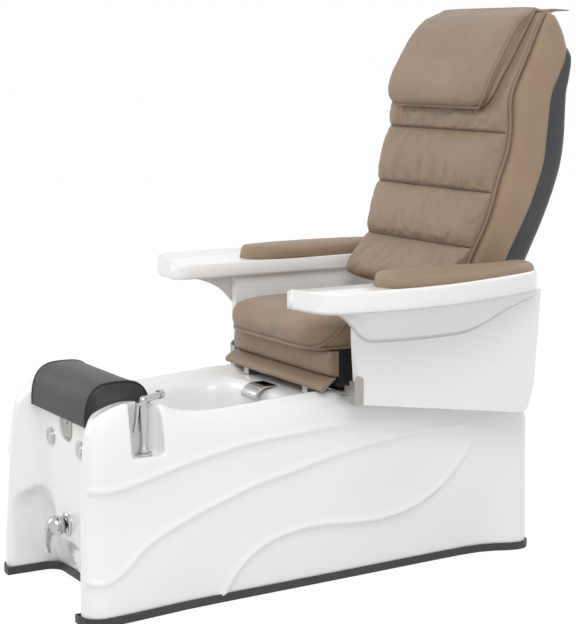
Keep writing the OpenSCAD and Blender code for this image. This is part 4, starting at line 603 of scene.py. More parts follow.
def section(s, inset=0.0, rows=30, turn_n=14):
    """Half cross-section at share s, from the floor up and in to the deck."""
    z0 = 10.0 if not inset else -6.0
    edge = max(BASE_H * float(along(edge_t, s)), z0 + 20)
    crest = max(BASE_H * float(along(crest_t, s)), edge + 4)
    w = float(wall_half(s)) - inset
    roll = min(ROLL_W, w / 2)
    out = roll * 0.5
    z = np.linspace(z0, edge, rows)
    side = np.stack([side_x(s, np.maximum(z, 10.0)) - inset, z], -1)
    a = np.linspace(0, np.pi / 2, turn_n)[1:]
    turn = np.stack([w - out * (1 - np.cos(a)), edge + (crest - edge) * np.sin(a) - inset], -1)
    deck = min(float(deck_z(s)), crest)
    t = np.linspace(0, 1, 8)[1:]
    inner = np.stack([w - out - (roll - out) * t, crest + (deck - crest) * ease(t) - inset], -1)
    return np.vstack([side, turn, inner])


def section_ring(s, inset=0.0, **kw):
    left = crossways(section(s, inset, **kw), FRONT_Y + s * BASE_L, 1)
    return np.vstack([left, left[::-1] * [-1, 1, 1]])


def basin_plan(a, g):
    return np.stack([(BASIN_HALF + g) * spow(np.cos(a), BASIN_POW),
                     BASIN_Y + (BASIN_HALF + g) * spow(np.sin(a), BASIN_POW)], -1)


def basin_rings(grow, floor, lift, n=96):
    a = (np.arange(n) + 0.5) * 2 * np.pi / n
    rings = []
    for d in np.concatenate([[-0.3], np.linspace(0, 1, 26)]):
        g = -BASIN_HALF * 2 * float(along(basin_wall_t, max(d, 0))) + grow
        q = basin_plan(a, g)
        rim = deck_z((q[:, 1] - FRONT_Y) / BASE_L)
        z = rim + (floor - rim) * d if d >= 0 else rim + lift
        rings.append(np.column_stack([q, z]))
    return rings


def recess_outline():
    t = np.linspace(0, 1, 40)
    curve = np.stack([236 + (147 - 236) * t, FRONT_Y + WALL_IN * ease(t)], -1)
    return np.vstack([[236, BEFORE], curve, curve[::-1] * [-1, 1], [-236, BEFORE]])


def toe_outline():
    r = 40.0
    a = np.radians(np.linspace(0, 90, 16))
    c = np.stack([TOE_HALF - r * (1 - np.cos(a)), TOE_Y - r * (1 - np.sin(a))], -1)
    return np.vstack([[TOE_HALF, BEFORE], c, c[::-1] * [-1, 1], [-TOE_HALF, BEFORE]])


def toe_hollow(side):
    """Arch-topped hollow beside the middle pillar, deepest near the floor."""
    pillar, top = 72.0, 235.0
    half, mid = (TOE_HALF - pillar) / 2, (TOE_HALF + pillar) / 2
    spring, mouth = top - half, (WALL_Y - 60, WALL_Y + 0.5)
    pts = [(mid + half * math.cos(a), y, spring + half * math.sin(a))
           for a in np.radians(np.arange(0, 181, 7.5)) for y in mouth]
    pts += [(mid + k * half, y, -5) for k in (-1, 1) for y in mouth]
    pts += [(mid + k * half, TOE_Y, z) for k in (-0.8, 0.8) for z in (-5, spring * 0.3)]
    pts += [(mid + k * half, WALL_Y + 0.6 * (TOE_Y - WALL_Y), spring) for k in (-0.4, 0.4)]
    return hull_of([(side * x, y, z) for x, y, z in pts])


def tongue_slot(half, z0, top, n=24):
    """Outline of the slot behind the tongue plate, round at its foot."""
    a = np.radians(np.linspace(180, 360, n))
    arc = np.stack([half * np.cos(a), z0 + half + half * np.sin(a)], -1)
    return np.vstack([arc, [half, top], [-half, top]])


def bath_moulding():
    body = loft("bath_moulding", [section_ring(s) for s in stations(
        [0, 0.0015, 0.004, 0.007, 0.011, 0.016, 0.022], 0.03, 0.97, 150, [0.978, 0.985, 0.991, 0.996, 1.0])])
    lean = [(1, 0), (0.98, 0.12), (0.93, 0.28), (0.85, 0.46), (0.75, 0.64), (0.64, 0.82), (0.5, 1)]
    lean = ([(BEFORE, -20), (TOE_Y, -20)] + [(FRONT_Y + TOE_IN * d, TOE_IN * h) for d, h in lean]
            + [(BEFORE, TOE_IN)])
    combine(body, [
        prism(recess_outline(), -20, 600),
        prism(toe_outline(), -20, 22),
        prism(lean, -TOE_HALF, TOE_HALF, "x"),
        toe_hollow(1), toe_hollow(-1),
        prism(tongue_slot(36, 375, 600), BEFORE, SLOT_Y, "y"),
        block((-172, 172), (BEFORE, FRONT_Y + 220), (437, 620)),
        loft("cutter", basin_rings(-BASIN_T, BASIN_FLOOR + BASIN_T, 120)),
        rod(POCKET, 42, 376, ABOVE),
    ])
    combine(body, [rod(JET, 47, -146.7, -118, "y")], "UNION")
    voxel(body, 4.0)
    relax(body, 8)
    co = coords(body)
    s = (co[:, 1] - FRONT_Y) / BASE_L
    # the rim of the bath rolls over softly
    q = np.maximum(np.abs(co[:, 0]) / BASIN_HALF, 1e-6) ** (2 / BASIN_POW)
    q = (q + (np.abs(co[:, 1] - BASIN_Y) / BASIN_HALF) ** (2 / BASIN_POW)) ** (BASIN_POW / 2)
    gap = (q - 1) * BASIN_HALF
    relax(body, 60, bell(gap, 20.0) * ease((co[:, 2] - 380) / 30))
    # and its floor turns up into the wall
    relax(body, 40, bell(co[:, 2] - BASIN_FLOOR - BASIN_T, 35.0) * (gap < 3))
    # wave lines on both sides, each a narrow crest on a flank that is wider above than below
    crest_h, crest_w, flank_h, above_w, below_w = 4.2, 7.5, 3.4, 42, 16
    co, nrm = coords(body), normals(body)
    on_side = np.abs(co[:, 0]) > side_x(unit(s), co[:, 2]) - 14
    outer = ease((np.abs(nrm[:, 0]) - 0.35) / 0.4) * on_side
    lift = np.zeros(len(co))
    places = np.linspace(0, 1, 400)
    for line, strength in wave_lines:
        slope = np.gradient(BASE_H * along(line, places), BASE_L / 399)
        d = (co[:, 2] - BASE_H * along(line, s)) / np.sqrt(1 + np.interp(s, places, slope) ** 2)
        form = crest_h * bell(d, crest_w) + flank_h * bell(d, np.where(d > 0, above_w, below_w))
        lift += along(strength, s) * ease(s / 0.012) * form
    set_coords(body, co + nrm * (lift * outer)[:, None])
    # hollow inside, as moulded, and clear of the bath, the pocket and the footrest's saddle
    inner = loft("cutter", [section_ring(v, 10.0, rows=8, turn_n=5)
                            for v in stations([0.115], 0.15, 0.985, 30, [])])
    combine(inner, [
        loft("cutter", basin_rings(9.0, BASIN_FLOOR - 0.4, 200, 64)),
        rod(POCKET, 53, 364, ABOVE),
        block((-185, 185), (BEFORE, FRONT_Y + 232), (425, ABOVE)),
        block((-270, 270), (-440, -40), (405, ABOVE)),
    ])
    # room behind the front wall, then holes for the sprayer, tap, jet, drain, buttons, posts and guide
    room_y = (SLOT_Y + 9, FRONT_Y + 158)
    holes = [
        inner,
        block((-128, 128), room_y, (244, 427)),
        block((-63, 63), room_y, (138, 427)),
        rod((225, -538), 14.3, 352, 420),
        rod((0, 172), 17.3, FRONT_Y, -560, "y"),
        rod(JET, 34.0, -160, -60, "y"),
        rod((0, BASIN_Y), 24.0, 150, 200),
    ]
    for side, _ in SIDES:
        holes.append(rod((side * 89, 372), 18.3, FRONT_Y, -560, "y"))
        holes.append(block(sorted((side * 175.7, side * 200.3)), (487.7, 512.3), (380, 520)))
    holes.append(block((-20.3, 20.3), (-610, -569.4), (417, 520)))
    combine(body, holes)
    smooth_all(body)
    dress(body, MAT["gelcoat"])
    place(body, "base", "base_shell", "basin", slot="gloss_white")


bath_moulding()

# upholstery shapes

DECK_TOP = 0.92 * BASE_H
SEAT_Z, TRAY_Z = DECK_TOP + 114, DECK_TOP + 279
RECLINE_Y, BACK_LOW, BACK_H = 387.0, DECK_TOP + 227, 710.0
BACK_TOP = BACK_LOW + BACK_H
back_line_t = [(0, -0.06), (0.115, -0.024), (0.255, 0.03), (0.403, 0.07), (0.5, 0.106), (0.577, 0.12),
               (0.7, 0.124), (0.824, 0.186), (0.948, 0.265), (1, 0.307)]
back_rear_t = [(0, 0.14), (0.104, 0.166), (0.259, 0.231), (0.352, 0.269), (0.448, 0.303), (0.538, 0.314),
               (0.628, 0.325), (0.71, 0.341), (0.77, 0.372), (0.817, 0.397), (0.859, 0.406), (0.913, 0.394),
               (0.966, 0.365), (1, 0.332)]
back_cover_t = [(0, 0.25), (0.072, 0.273), (0.19, 0.321), (0.317, 0.363), (0.442, 0.401), (0.534, 0.417),
                (0.625, 0.42), (0.71, 0.421), (0.76, 0.428), (0.82, 0.43), (0.88, 0.42), (0.94, 0.4),
                (1, 0.36)]
back_front_t = [(0, -0.135), (0.03, -0.16), (0.07, -0.148), (0.132, -0.086), (0.17, -0.052), (0.2, -0.045),
                (0.283, -0.014), (0.368, 0.014), (0.476, 0.035), (0.56, 0.058), (0.66, 0.08), (0.72, 0.1),
                (0.824, 0.165), (0.948, 0.244), (1, 0.288)]
back_half_t = [(0, 0.86), (0.15, 0.92), (0.35, 1), (0.7, 1), (0.85, 0.97), (1, 0.88)]
pillow_front_t = [(0, 0.058), (0.03, 0.037), (0.12, 0.026), (0.3, 0.036), (0.5, 0.074), (0.7, 0.115),
                  (0.85, 0.155), (0.95, 0.2), (1, 0.24)]
pillow_half_t = [(0, 0.80), (0.03, 0.885), (0.08, 0.945), (0.15, 0.985), (0.24, 1), (0.7, 1),
                 (0.9, 0.975), (1, 0.93)]
CHANNELS = np.array([0.165, 0.36, 0.57])
PILLOW_LOW = 0.655


def back_z(t):
    return BACK_LOW + BACK_H * np.asarray(t, float)


def back_y(table, t):
    return RECLINE_Y + BACK_H * along(table, t)


def back_half(t):
    return 262.0 * along(back_half_t, t)


HINGE_Y = back_y(back_rear_t, 1) - 12


def puffs(t, marks):
    """0 at each seam and 1 midway between two."""
    m = np.concatenate([[-0.02], marks, [1.0]])
    i = np.clip(np.searchsorted(m, t, side="right") - 1, 0, len(m) - 2)
    d = (t - m[i]) / (m[i + 1] - m[i])
    return np.sin(np.pi * unit(d)) ** 0.7


def back_cushion():
    n, back_n, seam_depth, puff_h = 96, 18, 15.0, 4.0
    rings, held = [], []
    for t in np.unique(np.concatenate([np.linspace(0, 1, 150)]
                                      + [c + np.linspace(-0.02, 0.02, 13) for c in CHANNELS])):
        e = 0.8 + 0.2 * ease(min(t, 1 - t) / 0.012)
        rear = back_y(back_line_t, t) - 0.3
        w = (back_half(t) - 5) * e
        seam = int(np.argmin(np.abs(t - CHANNELS)))
        near = abs(t - CHANNELS[seam]) * BACK_H
        front = min(back_y(back_front_t, t), rear - 5)
        puff = 0.0 if t > PILLOW_LOW - 0.03 else puff_h * puffs(t, CHANNELS)
        dip = seam_depth * math.exp(-near / 7.5)
        row = arch(0, rear, w, -(rear - front + puff - dip) * e, 0.4, 0.4, n)
        # the leather gathers at each seam and folds a little across
        face = unit((rear - row[:, 1]) / 30)
        above = t > CHANNELS[seam]
        pucker = noise(row[:, 0] / 17.0, seam * 9.0 + (0 if above else 3.0), 0, 3)
        pucker = pucker * (2.6 if above else 1.95) * math.exp(-near / 19.0) * (1 - math.exp(-near / 3.5))
        fold = noise(row[:, 0] / 34.0, t * 5.0, 2.0, 5) * 1.3 * math.exp(-near / 45.0)
        row[:, 1] -= face * (pucker + fold) * (t < PILLOW_LOW)
        ring = shut(row, back_n, rear)
        rings.append(level(ring, back_z(t)))
        h = hold(len(ring), n, 4, near < 2.6 or t < 0.006 or t > PILLOW_LOW)
        held.append(np.maximum(h, 0.5) if near < 9 else h)
    obj = loft("back_cushion", rings, MAT["tan"])
    inflate(obj, held, pressure=1.6, cap=7.0, slack=0.04, stiffness=14, bend=0.4)
    relax(obj, 1, factor=0.3)
    place(obj, "back", "back_pad")


def pad_front_y(x, t, lift):
    """Where the pad's face is at x and height share t."""
    rear = back_y(back_line_t, t)
    c = min(abs(x) / (back_half(t) - 5), 0.9999) ** (1 / 0.4)
    return rear - (rear - back_y(back_front_t, t) + lift) * (1 - c * c) ** 0.2


def seam_lines():
    for i, c in enumerate(CHANNELS):
        path = [(x, pad_front_y(x, c, -12.6), back_z(c) + 0.5 * math.sin(x / 31.0 + i))
                for x in spread(back_half(c) - 6, 90)]
        line = tube("back_seam_%d" % (i + 1), even(path, step=4.0), 1.6, MAT["seam"], n=8)
        place(line, "back")


def bead(name, points, radius, body, slot="leather_tan", look="piping"):
    place(tube(name, even(points, step=5.0), radius, MAT[look], n=12), body, slot=slot)


def back_sides():
    n = 132
    u = np.radians(np.linspace(0, 360, 1440, endpoint=False))
    rings = []
    for t in np.linspace(0, 1, 110):
        a, b, w = back_y(back_line_t, t), back_y(back_rear_t, t), back_half(t)
        e = 9.2 * (1 - ease(min(t, 1 - t) / 0.02))
        full = np.stack([(w - e) * spow(np.cos(u), 0.35),
                         (a + b) / 2 + ((b - a) / 2 - e) * spow(np.sin(u), 0.35)], -1)
        ring = even(np.vstack([full, full[:1]]), n + 1)[:-1]
        # the sides swell a little between the piping and the cover
        k = unit((ring[:, 1] - a) / (b - a))
        hand, on_side = np.sign(ring[:, 0]), np.abs(ring[:, 0]) > w * 0.9
        fold = noise(k * 2.2, t * 16.0, hand * 4.0, 11) * 0.9
        ring[:, 0] += hand * (2.6 * np.sin(np.pi * k) ** 0.8 + fold) * on_side
        rings.append(level(ring, back_z(t)))
    obj = loft("back_sides", rings)
    hollow = []
    for t in (-0.02, 0.15, 0.35, 0.55, 0.75, 0.93):
        w = max(back_half(t) - 46, 205.3)
        a, b = back_y(back_line_t, t) - 46, back_y(back_rear_t, t) + 46
        hollow.append(level([(w, a), (w, b), (-w, b), (-w, a)], back_z(t)))
    combine(obj, [loft("cutter", hollow)])
    smooth_all(obj)
    # painted light: a lighter tan than the pad's, for the light that falls on the sides
    dress(obj, MAT["tan_painted_light"])
    place(obj, "back", "back_body")


def side_pipings():
    for side, word in SIDES:
        path = [(side * (back_half(t) - 3.2), back_y(back_line_t, t) - 1.5, back_z(t))
                for t in np.linspace(0.004, 0.996, 140)]
        bead("back_piping_" + word, path, 4.2, "back")


def top_flap():
    half, lo_z, hi_z = 211.0, BACK_TOP, BACK_TOP + 6
    rings = []
    for x in spread(half, 60):
        edge = 14 * (abs(x) / half) ** 8
        z = hi_z + 0.5 * math.sin(x / 40.0)
        rings.append(upright(x, [
            (HINGE_Y - 12, lo_z - 12), (HINGE_Y + 1, lo_z - 0.5), (HINGE_Y + 9, lo_z + 0.4),
            (HINGE_Y + 18, hi_z - 0.4), (660 - edge, z - 1), (704 - edge, z - 3), (709 - edge, z - 5),
            (706 - edge, lo_z - 0.4), (660 - edge, lo_z - 0.4), (HINGE_Y + 14, lo_z - 8),
            (HINGE_Y + 4, lo_z - 13)]))
    obj = loft("back_flap", rings, MAT["tan"])
    subdivide(obj)
    place(obj, "back")


def back_cover():
    def ring(t, inset, lead, n=72):
        a = back_y(back_rear_t, t) + 0.3
        w = back_half(t) - 6.5 - 34 * ease((t - 0.83) / 0.09) - inset
        b = max(back_y(back_cover_t, t), a + 10) - inset
        return level(arch(0, a - lead, w, b - a + lead, 0.45, 0.45, n), back_z(t))

    cover = loft("back_cover", [ring(t, 0, 20) for t in np.linspace(0, 0.95, 110)])
    combine(cover, [loft("cutter", [ring(t, 5, 5, 30) for t in np.linspace(0.05, 0.85, 20)])])
    voxel(cover, 3.0)
    relax(cover, 3)
    # two upright ribs and two bars, raised a little, as pressed into such covers
    co, nrm = coords(cover), normals(cover)
    t, x = (co[:, 2] - BACK_LOW) / BACK_H, np.abs(co[:, 0])
    ribs = bell(x - 150, 9.0) * ease((t - 0.1) / 0.05) * ease((0.86 - t) / 0.05)
    bars = sum(bell((t - c) * BACK_H, 9.0) for c in (0.12, 0.84)) * ease((158 - x) / 12)
    behind = ease((nrm[:, 1] - 0.5) / 0.3)
    set_coords(cover, co + nrm * (2.2 * behind * np.maximum(ribs, bars))[:, None])
    smooth_all(cover)
    dress(cover, MAT["cover"])
    place(cover, "back", "back_shell", slot="cover_charcoal")


def head_rest():
    half, puff_h = 220.0, 8.0
    s = np.linspace(0, 1, 90)
    t = PILLOW_LOW + (1 - PILLOW_LOW) * s
    puff = puff_h * np.sin(np.pi * unit(s + 0.06)) ** 0.5
    outer = np.stack([RECLINE_Y + BACK_H * along(pillow_front_t, s) - puff, back_z(t)], -1)
    inner = np.stack([back_y(back_front_t, t) - 2.3, back_z(t)], -1)
    # the upper end turns over to the hinge line, as (y, z over the back's top)
    low_part = s < 0.965
    over = [(573, 4), (581, 9), (592, 10.6), (602, 8), (608, 3.5), (HINGE_Y - 0.3, 0.7)]
    under = [(590, 0.5)] * 3 + [(596, 0.5), (602, 0.5), (606, 0.5)]
    outer = np.vstack([outer[low_part], np.array(over) + [0, BACK_TOP]])
    inner = np.vstack([inner[low_part], np.array(under) + [0, BACK_TOP]])
    shares = np.concatenate([s[low_part], np.ones(len(over))])
    d = arc_length(outer)
    g = np.linspace(0, d[-1], 110)
    outer, inner = (np.stack([np.interp(g, d, c) for c in rows.T], -1) for rows in (outer, inner))
    shares = np.interp(g, d, shares)
    wide, n = half * along(pillow_half_t, shares), len(shares)
    rings, held = [], []
    for v in spread(0.9995, 110):
        c = abs(v) ** (1 / 0.36)
        f = max(max(1 - c * c, 0) ** 0.18, 0.16)
        face = inner + f * (outer - inner)
        crease = noise(v * 9.0, shares * 7.0, 1.0, 21) * 0.9
        crease = crease + noise(v * 3.0, shares * 16.0, 6.0, 23) * 0.6
        face[:, 0] -= crease * unit((f - 0.5) * 2) * unit(shares * 12)
        rings.append(np.vstack([np.column_stack([wide * v, face]), np.column_stack([wide * v, inner])[::-1]]))
        h = hold(2 * n, n, 3, abs(v) > 0.985)
        h[n - 8:] = 1
        held.append(h)
    obj = loft("head_rest", rings, MAT["tan"])
    inflate(obj, held, pressure=1.6, cap=6.0, slack=0.03, stiffness=14, bend=0.5)
    relax(obj, 2, factor=0.4)
    place(obj, "pillow", "head_pillow")
    # piping down one side, round the corner, along the lower edge and up the other side
    path = []
    for q in np.linspace(0.93, 0.03, 40):
        i = int(np.argmin(np.abs(shares - q)))
        path.append((half * along(pillow_half_t, q) + 0.5, *(inner[i] + 0.55 * (outer[i] - inner[i]))))
    corner_x, (low_y, low_z) = half * along(pillow_half_t, 0.03) - 9.5, outer[1] + [2.0, -1.0]
    for a in np.linspace(0, np.pi / 2, 8)[1:]:
        k = 1 - math.sin(a)
        path.append((corner_x + 10 * math.cos(a), low_y + 6 * k, low_z + 10 * k))
    path = np.array(path)
    bead("head_rest_piping", np.vstack([path, path[::-1] * [-1, 1, 1]]), 4.0, "pillow")


SEAT_Y, SEAT_HW, SEAT_HD, SEAT_T = 132.0, 232.0, 220.0, 88.0
seat_form_t = [(0, 0.05), (0.06, 0.02), (0.25, 0), (0.55, 0.002), (0.76, 0.022), (0.88, 0.07), (0.95, 0.16),
               (0.985, 0.28), (1, 0.42)]


def seat_plan(inset, n):
    """Rounded rectangle of n points, inset from the cushion's plan."""
    u = np.radians(np.linspace(0, 360, 1440))
    return even(np.stack([(SEAT_HW - inset) * spow(np.cos(u), 0.3),
                          SEAT_Y + (SEAT_HD - inset) * spow(np.sin(u), 0.3)], -1), n + 1)[:-1]


def seat_inset(s):
    return 440.0 * along(seat_form_t, s)


def seat_pad():
    n, mid = 176, np.array([0, SEAT_Y])
    rings, held = [], []
    for s in stations(np.linspace(0, 0.8, 22), 0.83, 0.985, 12, []):
        p = seat_plan(seat_inset(s) * (0.55 if s < 0.1 else 1.0), n)
        waist = 2.5 * math.sin(math.pi * min(s / 0.8, 1)) * np.exp(-((np.abs(p[:, 0]) / SEAT_HW) ** 6) * 1.5)
        crease = noise(p[:, 0] / 46.0, s * 5.0, p[:, 1] / 60.0, 31) * 0.8 * (0.1 < s < 0.9)
        out = (p - mid) / np.linalg.norm(p - mid, axis=1)[:, None]
        rings.append(level(p + out * (waist + crease)[:, None], SEAT_Z + SEAT_T * s))
        held.append(np.full(n, 1.0 if s < 0.05 else (0.35 if s < 0.12 else 0.0)))
    last = rings[-1][:, :2]
    for q in np.linspace(0, 1, 30)[1:-1]:
        p = mid + (last - mid) * (1 - q)
        rise = SEAT_T * 0.985 + 1.32 + 5.5 * (1 - (1 - q) ** 2)
        dent = noise(p[:, 0] / 70.0, p[:, 1] / 70.0, 0, 37) * 1.2
        rings.append(np.column_stack([p, SEAT_Z + rise + dent * min(q * 3, 1)]))
        held.append(np.zeros(n))
    obj = loft("seat_pad", rings, MAT["tan"])
    inflate(obj, held, pressure=1.2, cap=6.0, slack=0.004, stiffness=20, bend=3.0)
    relax(obj, 2, factor=0.4)
    place(obj, "seat", "seat_cushion")
    p = seat_plan(3, 400)
    front = p[p[:, 1] < SEAT_Y + 60]
    front = front[np.argsort(np.arctan2(front[:, 0], SEAT_Y - front[:, 1]))]
    bead("seat_piping", level(front, SEAT_Z + 4.5), 4.2, "seat")
    for side, word in SIDES:
        path = []
        for q in np.linspace(0, 1, 40):
            y, share = SEAT_Y - SEAT_HD + 16 + 92 * q ** 0.9, 0.05 + 0.8 * q
            cut = seat_inset(share)
            k = min(abs(y - SEAT_Y) / (SEAT_HD - cut), 0.9999) ** (1 / 0.3)
            path.append((side * ((SEAT_HW - cut) * (1 - k * k) ** 0.15 + 4.0), y, SEAT_Z + SEAT_T * share))
        bead("seat_piping_" + word, path, 4.2, "seat")


def seat_base():
    """Board with its feet, the padded apron under the cushion's front, and the flap over the slide."""
    board_z, board_t, face_y = SEAT_Z - 13.3, 13.0, -50.0
    board = block((-234, 234), (face_y + 16, 326), (board_z, board_z + board_t))
    combine(board, [block(sorted((side * 126, side * 174)), (y, y + 32), (497.66, board_z + 3))
                    for side, _ in SIDES for y in (face_y + 64, 238.0)], "UNION")
    m = board.modifiers.new("bevel", "BEVEL")
    m.width, m.segments = 1.5 * MM, 2
    bake(board)
    board.name = "seat_board"
    dress(board, MAT["black"])
    place(board, "seat", "seat_box")
    top, low = board_z + board_t, board_z + board_t - 62
    face = [(2, top - 0.5), (-1, top - 6), (-4, top - 20), (-5, top - 34), (-3, top - 48), (2, low + 5),
            (9, low + 0.3)]
    rings = []
    for x in spread(242.0, 150):
        inset = 7 * (abs(x) / 242.0) ** 10
        profile = even([(face_y + 30, top - 0.5)] + [(face_y + y + inset, z) for y, z in face]
                       + [(face_y + 30, low + 0.3)], 44)
        z = profile[:, 1]
        fold = noise(x / 60.0, (z + 0.16 * x) / 13.0, 0, 41) * 1.6
        fold = fold + noise(x / 25.0, z / 22.0, 3, 43) * 0.7
        profile[:, 0] -= fold * bell(profile[:, 0] - face_y, 12.0)
        rings.append(upright(x, profile))
    apron = loft("seat_apron", rings, MAT["tan"])
    place(apron, "seat")
    y0, z0 = face_y + 14.4, low - 0.3
    hanging = np.array([(1, -0.2), (7, -1), (-10, -13.5), (-20, -23), (-30, -34), (-37, -33.5), (-39.5, -22),
                        (-30, -15), (-18, -8)]) + [y0, z0]
    free = unit((z0 - hanging[:, 1]) / 26)
    rings = []
    for x in spread(248.0, 130):
        wave = 1.5 * math.sin(x / 47.0) + 0.8 * math.sin(x / 19.0 + 1)
        rings.append(upright(x, hanging + np.outer(wave * free, [1, 0])))
    flap = loft("seat_flap", rings, MAT["tan"])
    subdivide(flap)
    place(flap, "seat", "seat_skirt")


ARM_Y, ARM_L, ARM_HALF = 32.0, 470.0, 63.0
arm_half_t = [(0, 0.3), (0.02, 0.55), (0.06, 0.78), (0.14, 0.95), (0.28, 1), (0.5, 0.95), (0.75, 0.82),
              (0.92, 0.7), (0.98, 0.5), (1, 0.3)]
tray_outer_t = [(0, 0.25), (0.012, 0.67), (0.035, 0.836), (0.08, 0.918), (0.2, 0.977), (0.33, 1),
                (0.5, 0.942), (0.7, 0.766), (0.88, 0.555), (0.96, 0.415), (1, 0.275)]
tray_inner_t = [(0, 0.11), (0.012, 0.04), (0.035, 0.006), (0.08, 0), (1, 0)]
flare_t = [(0, 0), (0.1, 0.04), (0.2, 0.35), (0.27, 0.85), (0.32, 1), (0.68, 1), (0.78, 0.82), (0.88, 0.5),
           (1, 0.2)]


def arm_middle(s):
    return 336.0 + 8 * s - 32 * ease((s - 0.7) / 0.3)


def arm_cushion(side, word):
    n = 56
    rings, held = [], []
    for s in stations([0, 0.004, 0.01], 0.02, 0.98, 110, [0.99, 0.996, 1]):
        share, x, y = along(arm_half_t, s), arm_middle(s), ARM_Y + ARM_L * s
        half = ARM_HALF * share - 1.0
        row = arch(x, TRAY_Z + 1.3, half, 36.0 * min(1, share + 0.35) - 1, 0.55, 0.7, n)
        dent = noise(row[:, 0] / 26.0, y / 30.0, side * 3.0, 51) * 0.35
        row[:, 1] += dent * unit((row[:, 1] - TRAY_Z) / 20)
        ring = np.vstack([row, [[x - half * 0.94, TRAY_Z + 0.3], [x + half * 0.94, TRAY_Z + 0.3]]])
        rings.append(crossways(ring, y, side))
        held.append(hold(len(ring), n, 2, s < 0.008 or s > 0.992))
    obj = loft(word + "_armrest", rings, MAT["arm_tan"])
    inflate(obj, held, pressure=1.2, cap=3.5, slack=0.0, stiffness=20, bend=4.0)
    place(obj, word + "_arm", word + "_arm_pad", slot="leather_brown")
    there = np.linspace(0.02, 0.98, 90)
    edge = [(side * (arm_middle(s) + k * (ARM_HALF * along(arm_half_t, s) + 0.5)),
             ARM_Y + ARM_L * s, TRAY_Z + 2.6)
            for k, shares in ((1, there), (-1, there[::-1])) for s in shares]
    path = even(edge + edge[:1], step=6.0)[:-1]
    welt = tube(word + "_armrest_welt", path, 2.1, MAT["arm_piping"], closed=True, n=8)
    place(welt, word + "_arm", slot="leather_brown")


def arm_tray(side, word):
    """Tray with a raised outer rim and the flare that runs down to the side panel."""
    tray_t, inner_x, width, flare_h, rear_y, length = 40, 272, 203, 98, 514, 710
    low = TRAY_Z - tray_t
    rim = [(0, 4), (0.6, 8), (3, 11.6), (6.5, 13), (10, 12), (14, 8.5), (20, 3)]
    rings = []
    for s in stations([0, 0.003, 0.008, 0.014, 0.022], 0.03, 0.97, 120, [0.98, 0.988, 0.994, 0.998, 1]):
        xo, xi = (inner_x + width * along(table, s) for table in (tray_outer_t, tray_inner_t))
        flare = flare_h * along(flare_t, s)
        e = 0.6 + 0.4 * ease(min(s, 1 - s) / 0.02)
        near = max(290.0 if flare > 1 else xi + 0.1 * (xo - xi), xi + 3)
        panel_x = min(312.0, xo - 12)
        pts = [(xi, TRAY_Z - tray_t * (1 - e) - 3), (xi, low + 8), (xi + 2, low + 1.5), (near, low),
               (panel_x + 0.3, low), (panel_x + 0.8, low - flare)]
        pts += [(panel_x + 1 + (xo - 9 - panel_x) * u, low - flare * (1 - u) ** 2.1 + 0.4)
                for u in np.linspace(0.06, 1, 12)]
        pts += [(xo - d, low + z) for d, z in ((8, 3.4), (5, 3.6), (1.2, 4.5), (0, 8), (0, 20))]
        pts += [(xo - d, TRAY_Z + z * e) for d, z in rim] + [(xo - 29, TRAY_Z + 0.6)]
        floor_x = min(max(xi + 0.45 * (xo - xi), xi + 6), xo - 30) if xo - 30 > xi + 6 else xi + 6
        pts += [(floor_x, TRAY_Z), (xi + 5, TRAY_Z), (xi + 1.5, TRAY_Z - 1)]
        ring = np.array(pts)
        ring[:, 0] = np.maximum(ring[:, 0], xi)
        rings.append(crossways(ring, rear_y - length + length * s, side))
    tray = loft(word + "_tray", rings, MAT["arm_white"])
    place(tray, word + "_arm", word + "_arm_tray", slot="gloss_white")


def foot_cushion():
    n, half, depth, height = 60, 168.0, 84, 101
    y_mid, z0 = FRONT_Y + 48 + depth, BASE_H - 66 + 3.6
    rings, held = [], []
    for x in spread(half, 130):
        k = abs(x) / half
        e = 1 - 0.1 * ease((k - 0.93) / 0.07)
        row = arch(y_mid, z0, -depth * e, height * e, 0.62, 0.72, n)
        dent = noise(x / 40.0, row[:, 0] / 30.0, 0, 61) * 0.4
        row[:, 1] += dent * unit((row[:, 1] - z0) / 30)
        ring = shut(row, 10, z0)
        rings.append(upright(x, ring))
        held.append(hold(len(ring), n, 2, k > 0.955))
    obj = loft("foot_cushion", rings, MAT["charcoal"])
    inflate(obj, held, pressure=1.0, cap=3.0, slack=0.0, stiffness=20, bend=5.0)
    place(obj, "footrest", "footrest_pad", slot="leather_charcoal")
    u = np.radians(np.linspace(180, 0, 200))
    arc = np.stack([y_mid + (depth - 0.5) * spow(np.cos(u), 0.62),
                    z0 + (height - 0.5) * np.abs(np.sin(u)) ** 0.72], -1)
    for side, word in SIDES:
        bead("foot_cushion_welt_" + word, upright(side * 160.0, arc), 2.2, "footrest", "leather_charcoal",
             "charcoal")


back_cushion()
seam_lines()
back_sides()
side_pipings()
top_flap()
back_cover()
head_rest()
seat_pad()
seat_base()
for hand, hand_word in SIDES:
    arm_cushion(hand, hand_word)
    arm_tray(hand, hand_word)
foot_cushion()

# floor, light, camera


def seen(nt, *rays):
    """1 for the rays that show the background, and 0 for the rest."""
    path = node(nt, "LightPath")
    total = path.outputs[rays[0]]
    for ray in rays[1:]:
        total = node(nt, "Math", {0: total, 1: path.outputs[ray]}, {"operation": "MAXIMUM"}).outputs[0]
    return total


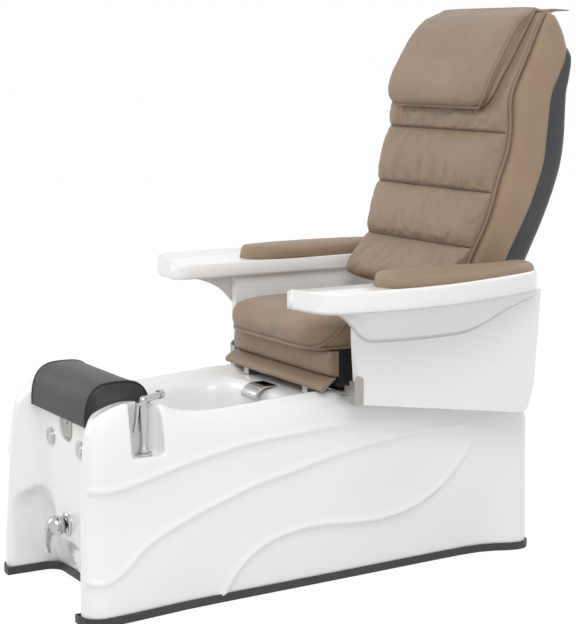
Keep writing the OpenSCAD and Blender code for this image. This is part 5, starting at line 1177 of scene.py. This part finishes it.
def studio_white():
    """White to the camera and in metal, less a part that takes the object's shadow."""
    m = bpy.data.materials.new("studio_white")
    nt, glow_share, grey, strength = cleared(m), 0.82, 0.72, 1.12
    share = node(nt, "Math", {0: seen(nt, "Is Camera Ray", "Is Glossy Ray")}, {"operation": "MULTIPLY"})
    share.inputs[1].default_value = glow_share
    diffuse = node(nt, "BsdfDiffuse", Color=(grey, grey, grey, 1))
    glow = node(nt, "Emission", Strength=strength)
    mix = node(nt, "MixShader", {0: share.outputs[0], 1: diffuse.outputs[0], 2: glow.outputs[0]})
    node(nt, "OutputMaterial", {0: mix.outputs[0]})
    return m


far = 9000
floor = build("studio_floor", [(-far, -far, 0), (far, -far, 0), (far, far, 0), (-far, far, 0)],
              [(0, 1, 2, 3)], studio_white(), smooth=False)

world = bpy.data.worlds.new("studio")
scene.world = world
tree = cleared(world)
white, lit = (node(tree, "Background", Color=(1, 1, 1, 1), Strength=v).outputs[0] for v in (1.0, 0.71))
sky = node(tree, "MixShader", {0: seen(tree, "Is Camera Ray", "Is Glossy Ray", "Is Transmission Ray"),
                               1: lit, 2: white})
node(tree, "OutputWorld", {0: sky.outputs[0]})


def aimed(name, data, where, target):
    obj = bpy.data.objects.new(name, data)
    scene.collection.objects.link(obj)
    obj.location = where
    obj.rotation_euler = (Vector(target) - Vector(where)).to_track_quat("-Z", "Y").to_euler()
    return obj


for name, where, height, size, power in (("key", (2.6, -1.6, 3.4), 0.6, 2.4, 64),
                                         ("fill", (-2.8, -2.6, 2.2), 0.6, 2.2, 28),
                                         ("rear", (-0.5, 3.0, 2.8), 0.8, 2.0, 16)):
    lamp = bpy.data.lights.new(name, "AREA")
    lamp.shape = "SQUARE"
    lamp.size, lamp.energy = size, power
    aimed(name, lamp, where, (0, 0, height))

# focal length and picture height in pixels, from the camera fit
focal, picture, sensor = 1756.0, 624.0, 36.0
lens = bpy.data.cameras.new("camera")
lens.sensor_width = sensor
lens.lens = focal / picture * sensor
lens.clip_start, lens.clip_end = 0.05, 60.0
scene.camera = aimed("camera", lens, (3.816, -2.235, 1.305), (0, -0.023, 0.642))
scene.view_settings.view_transform = "Standard"
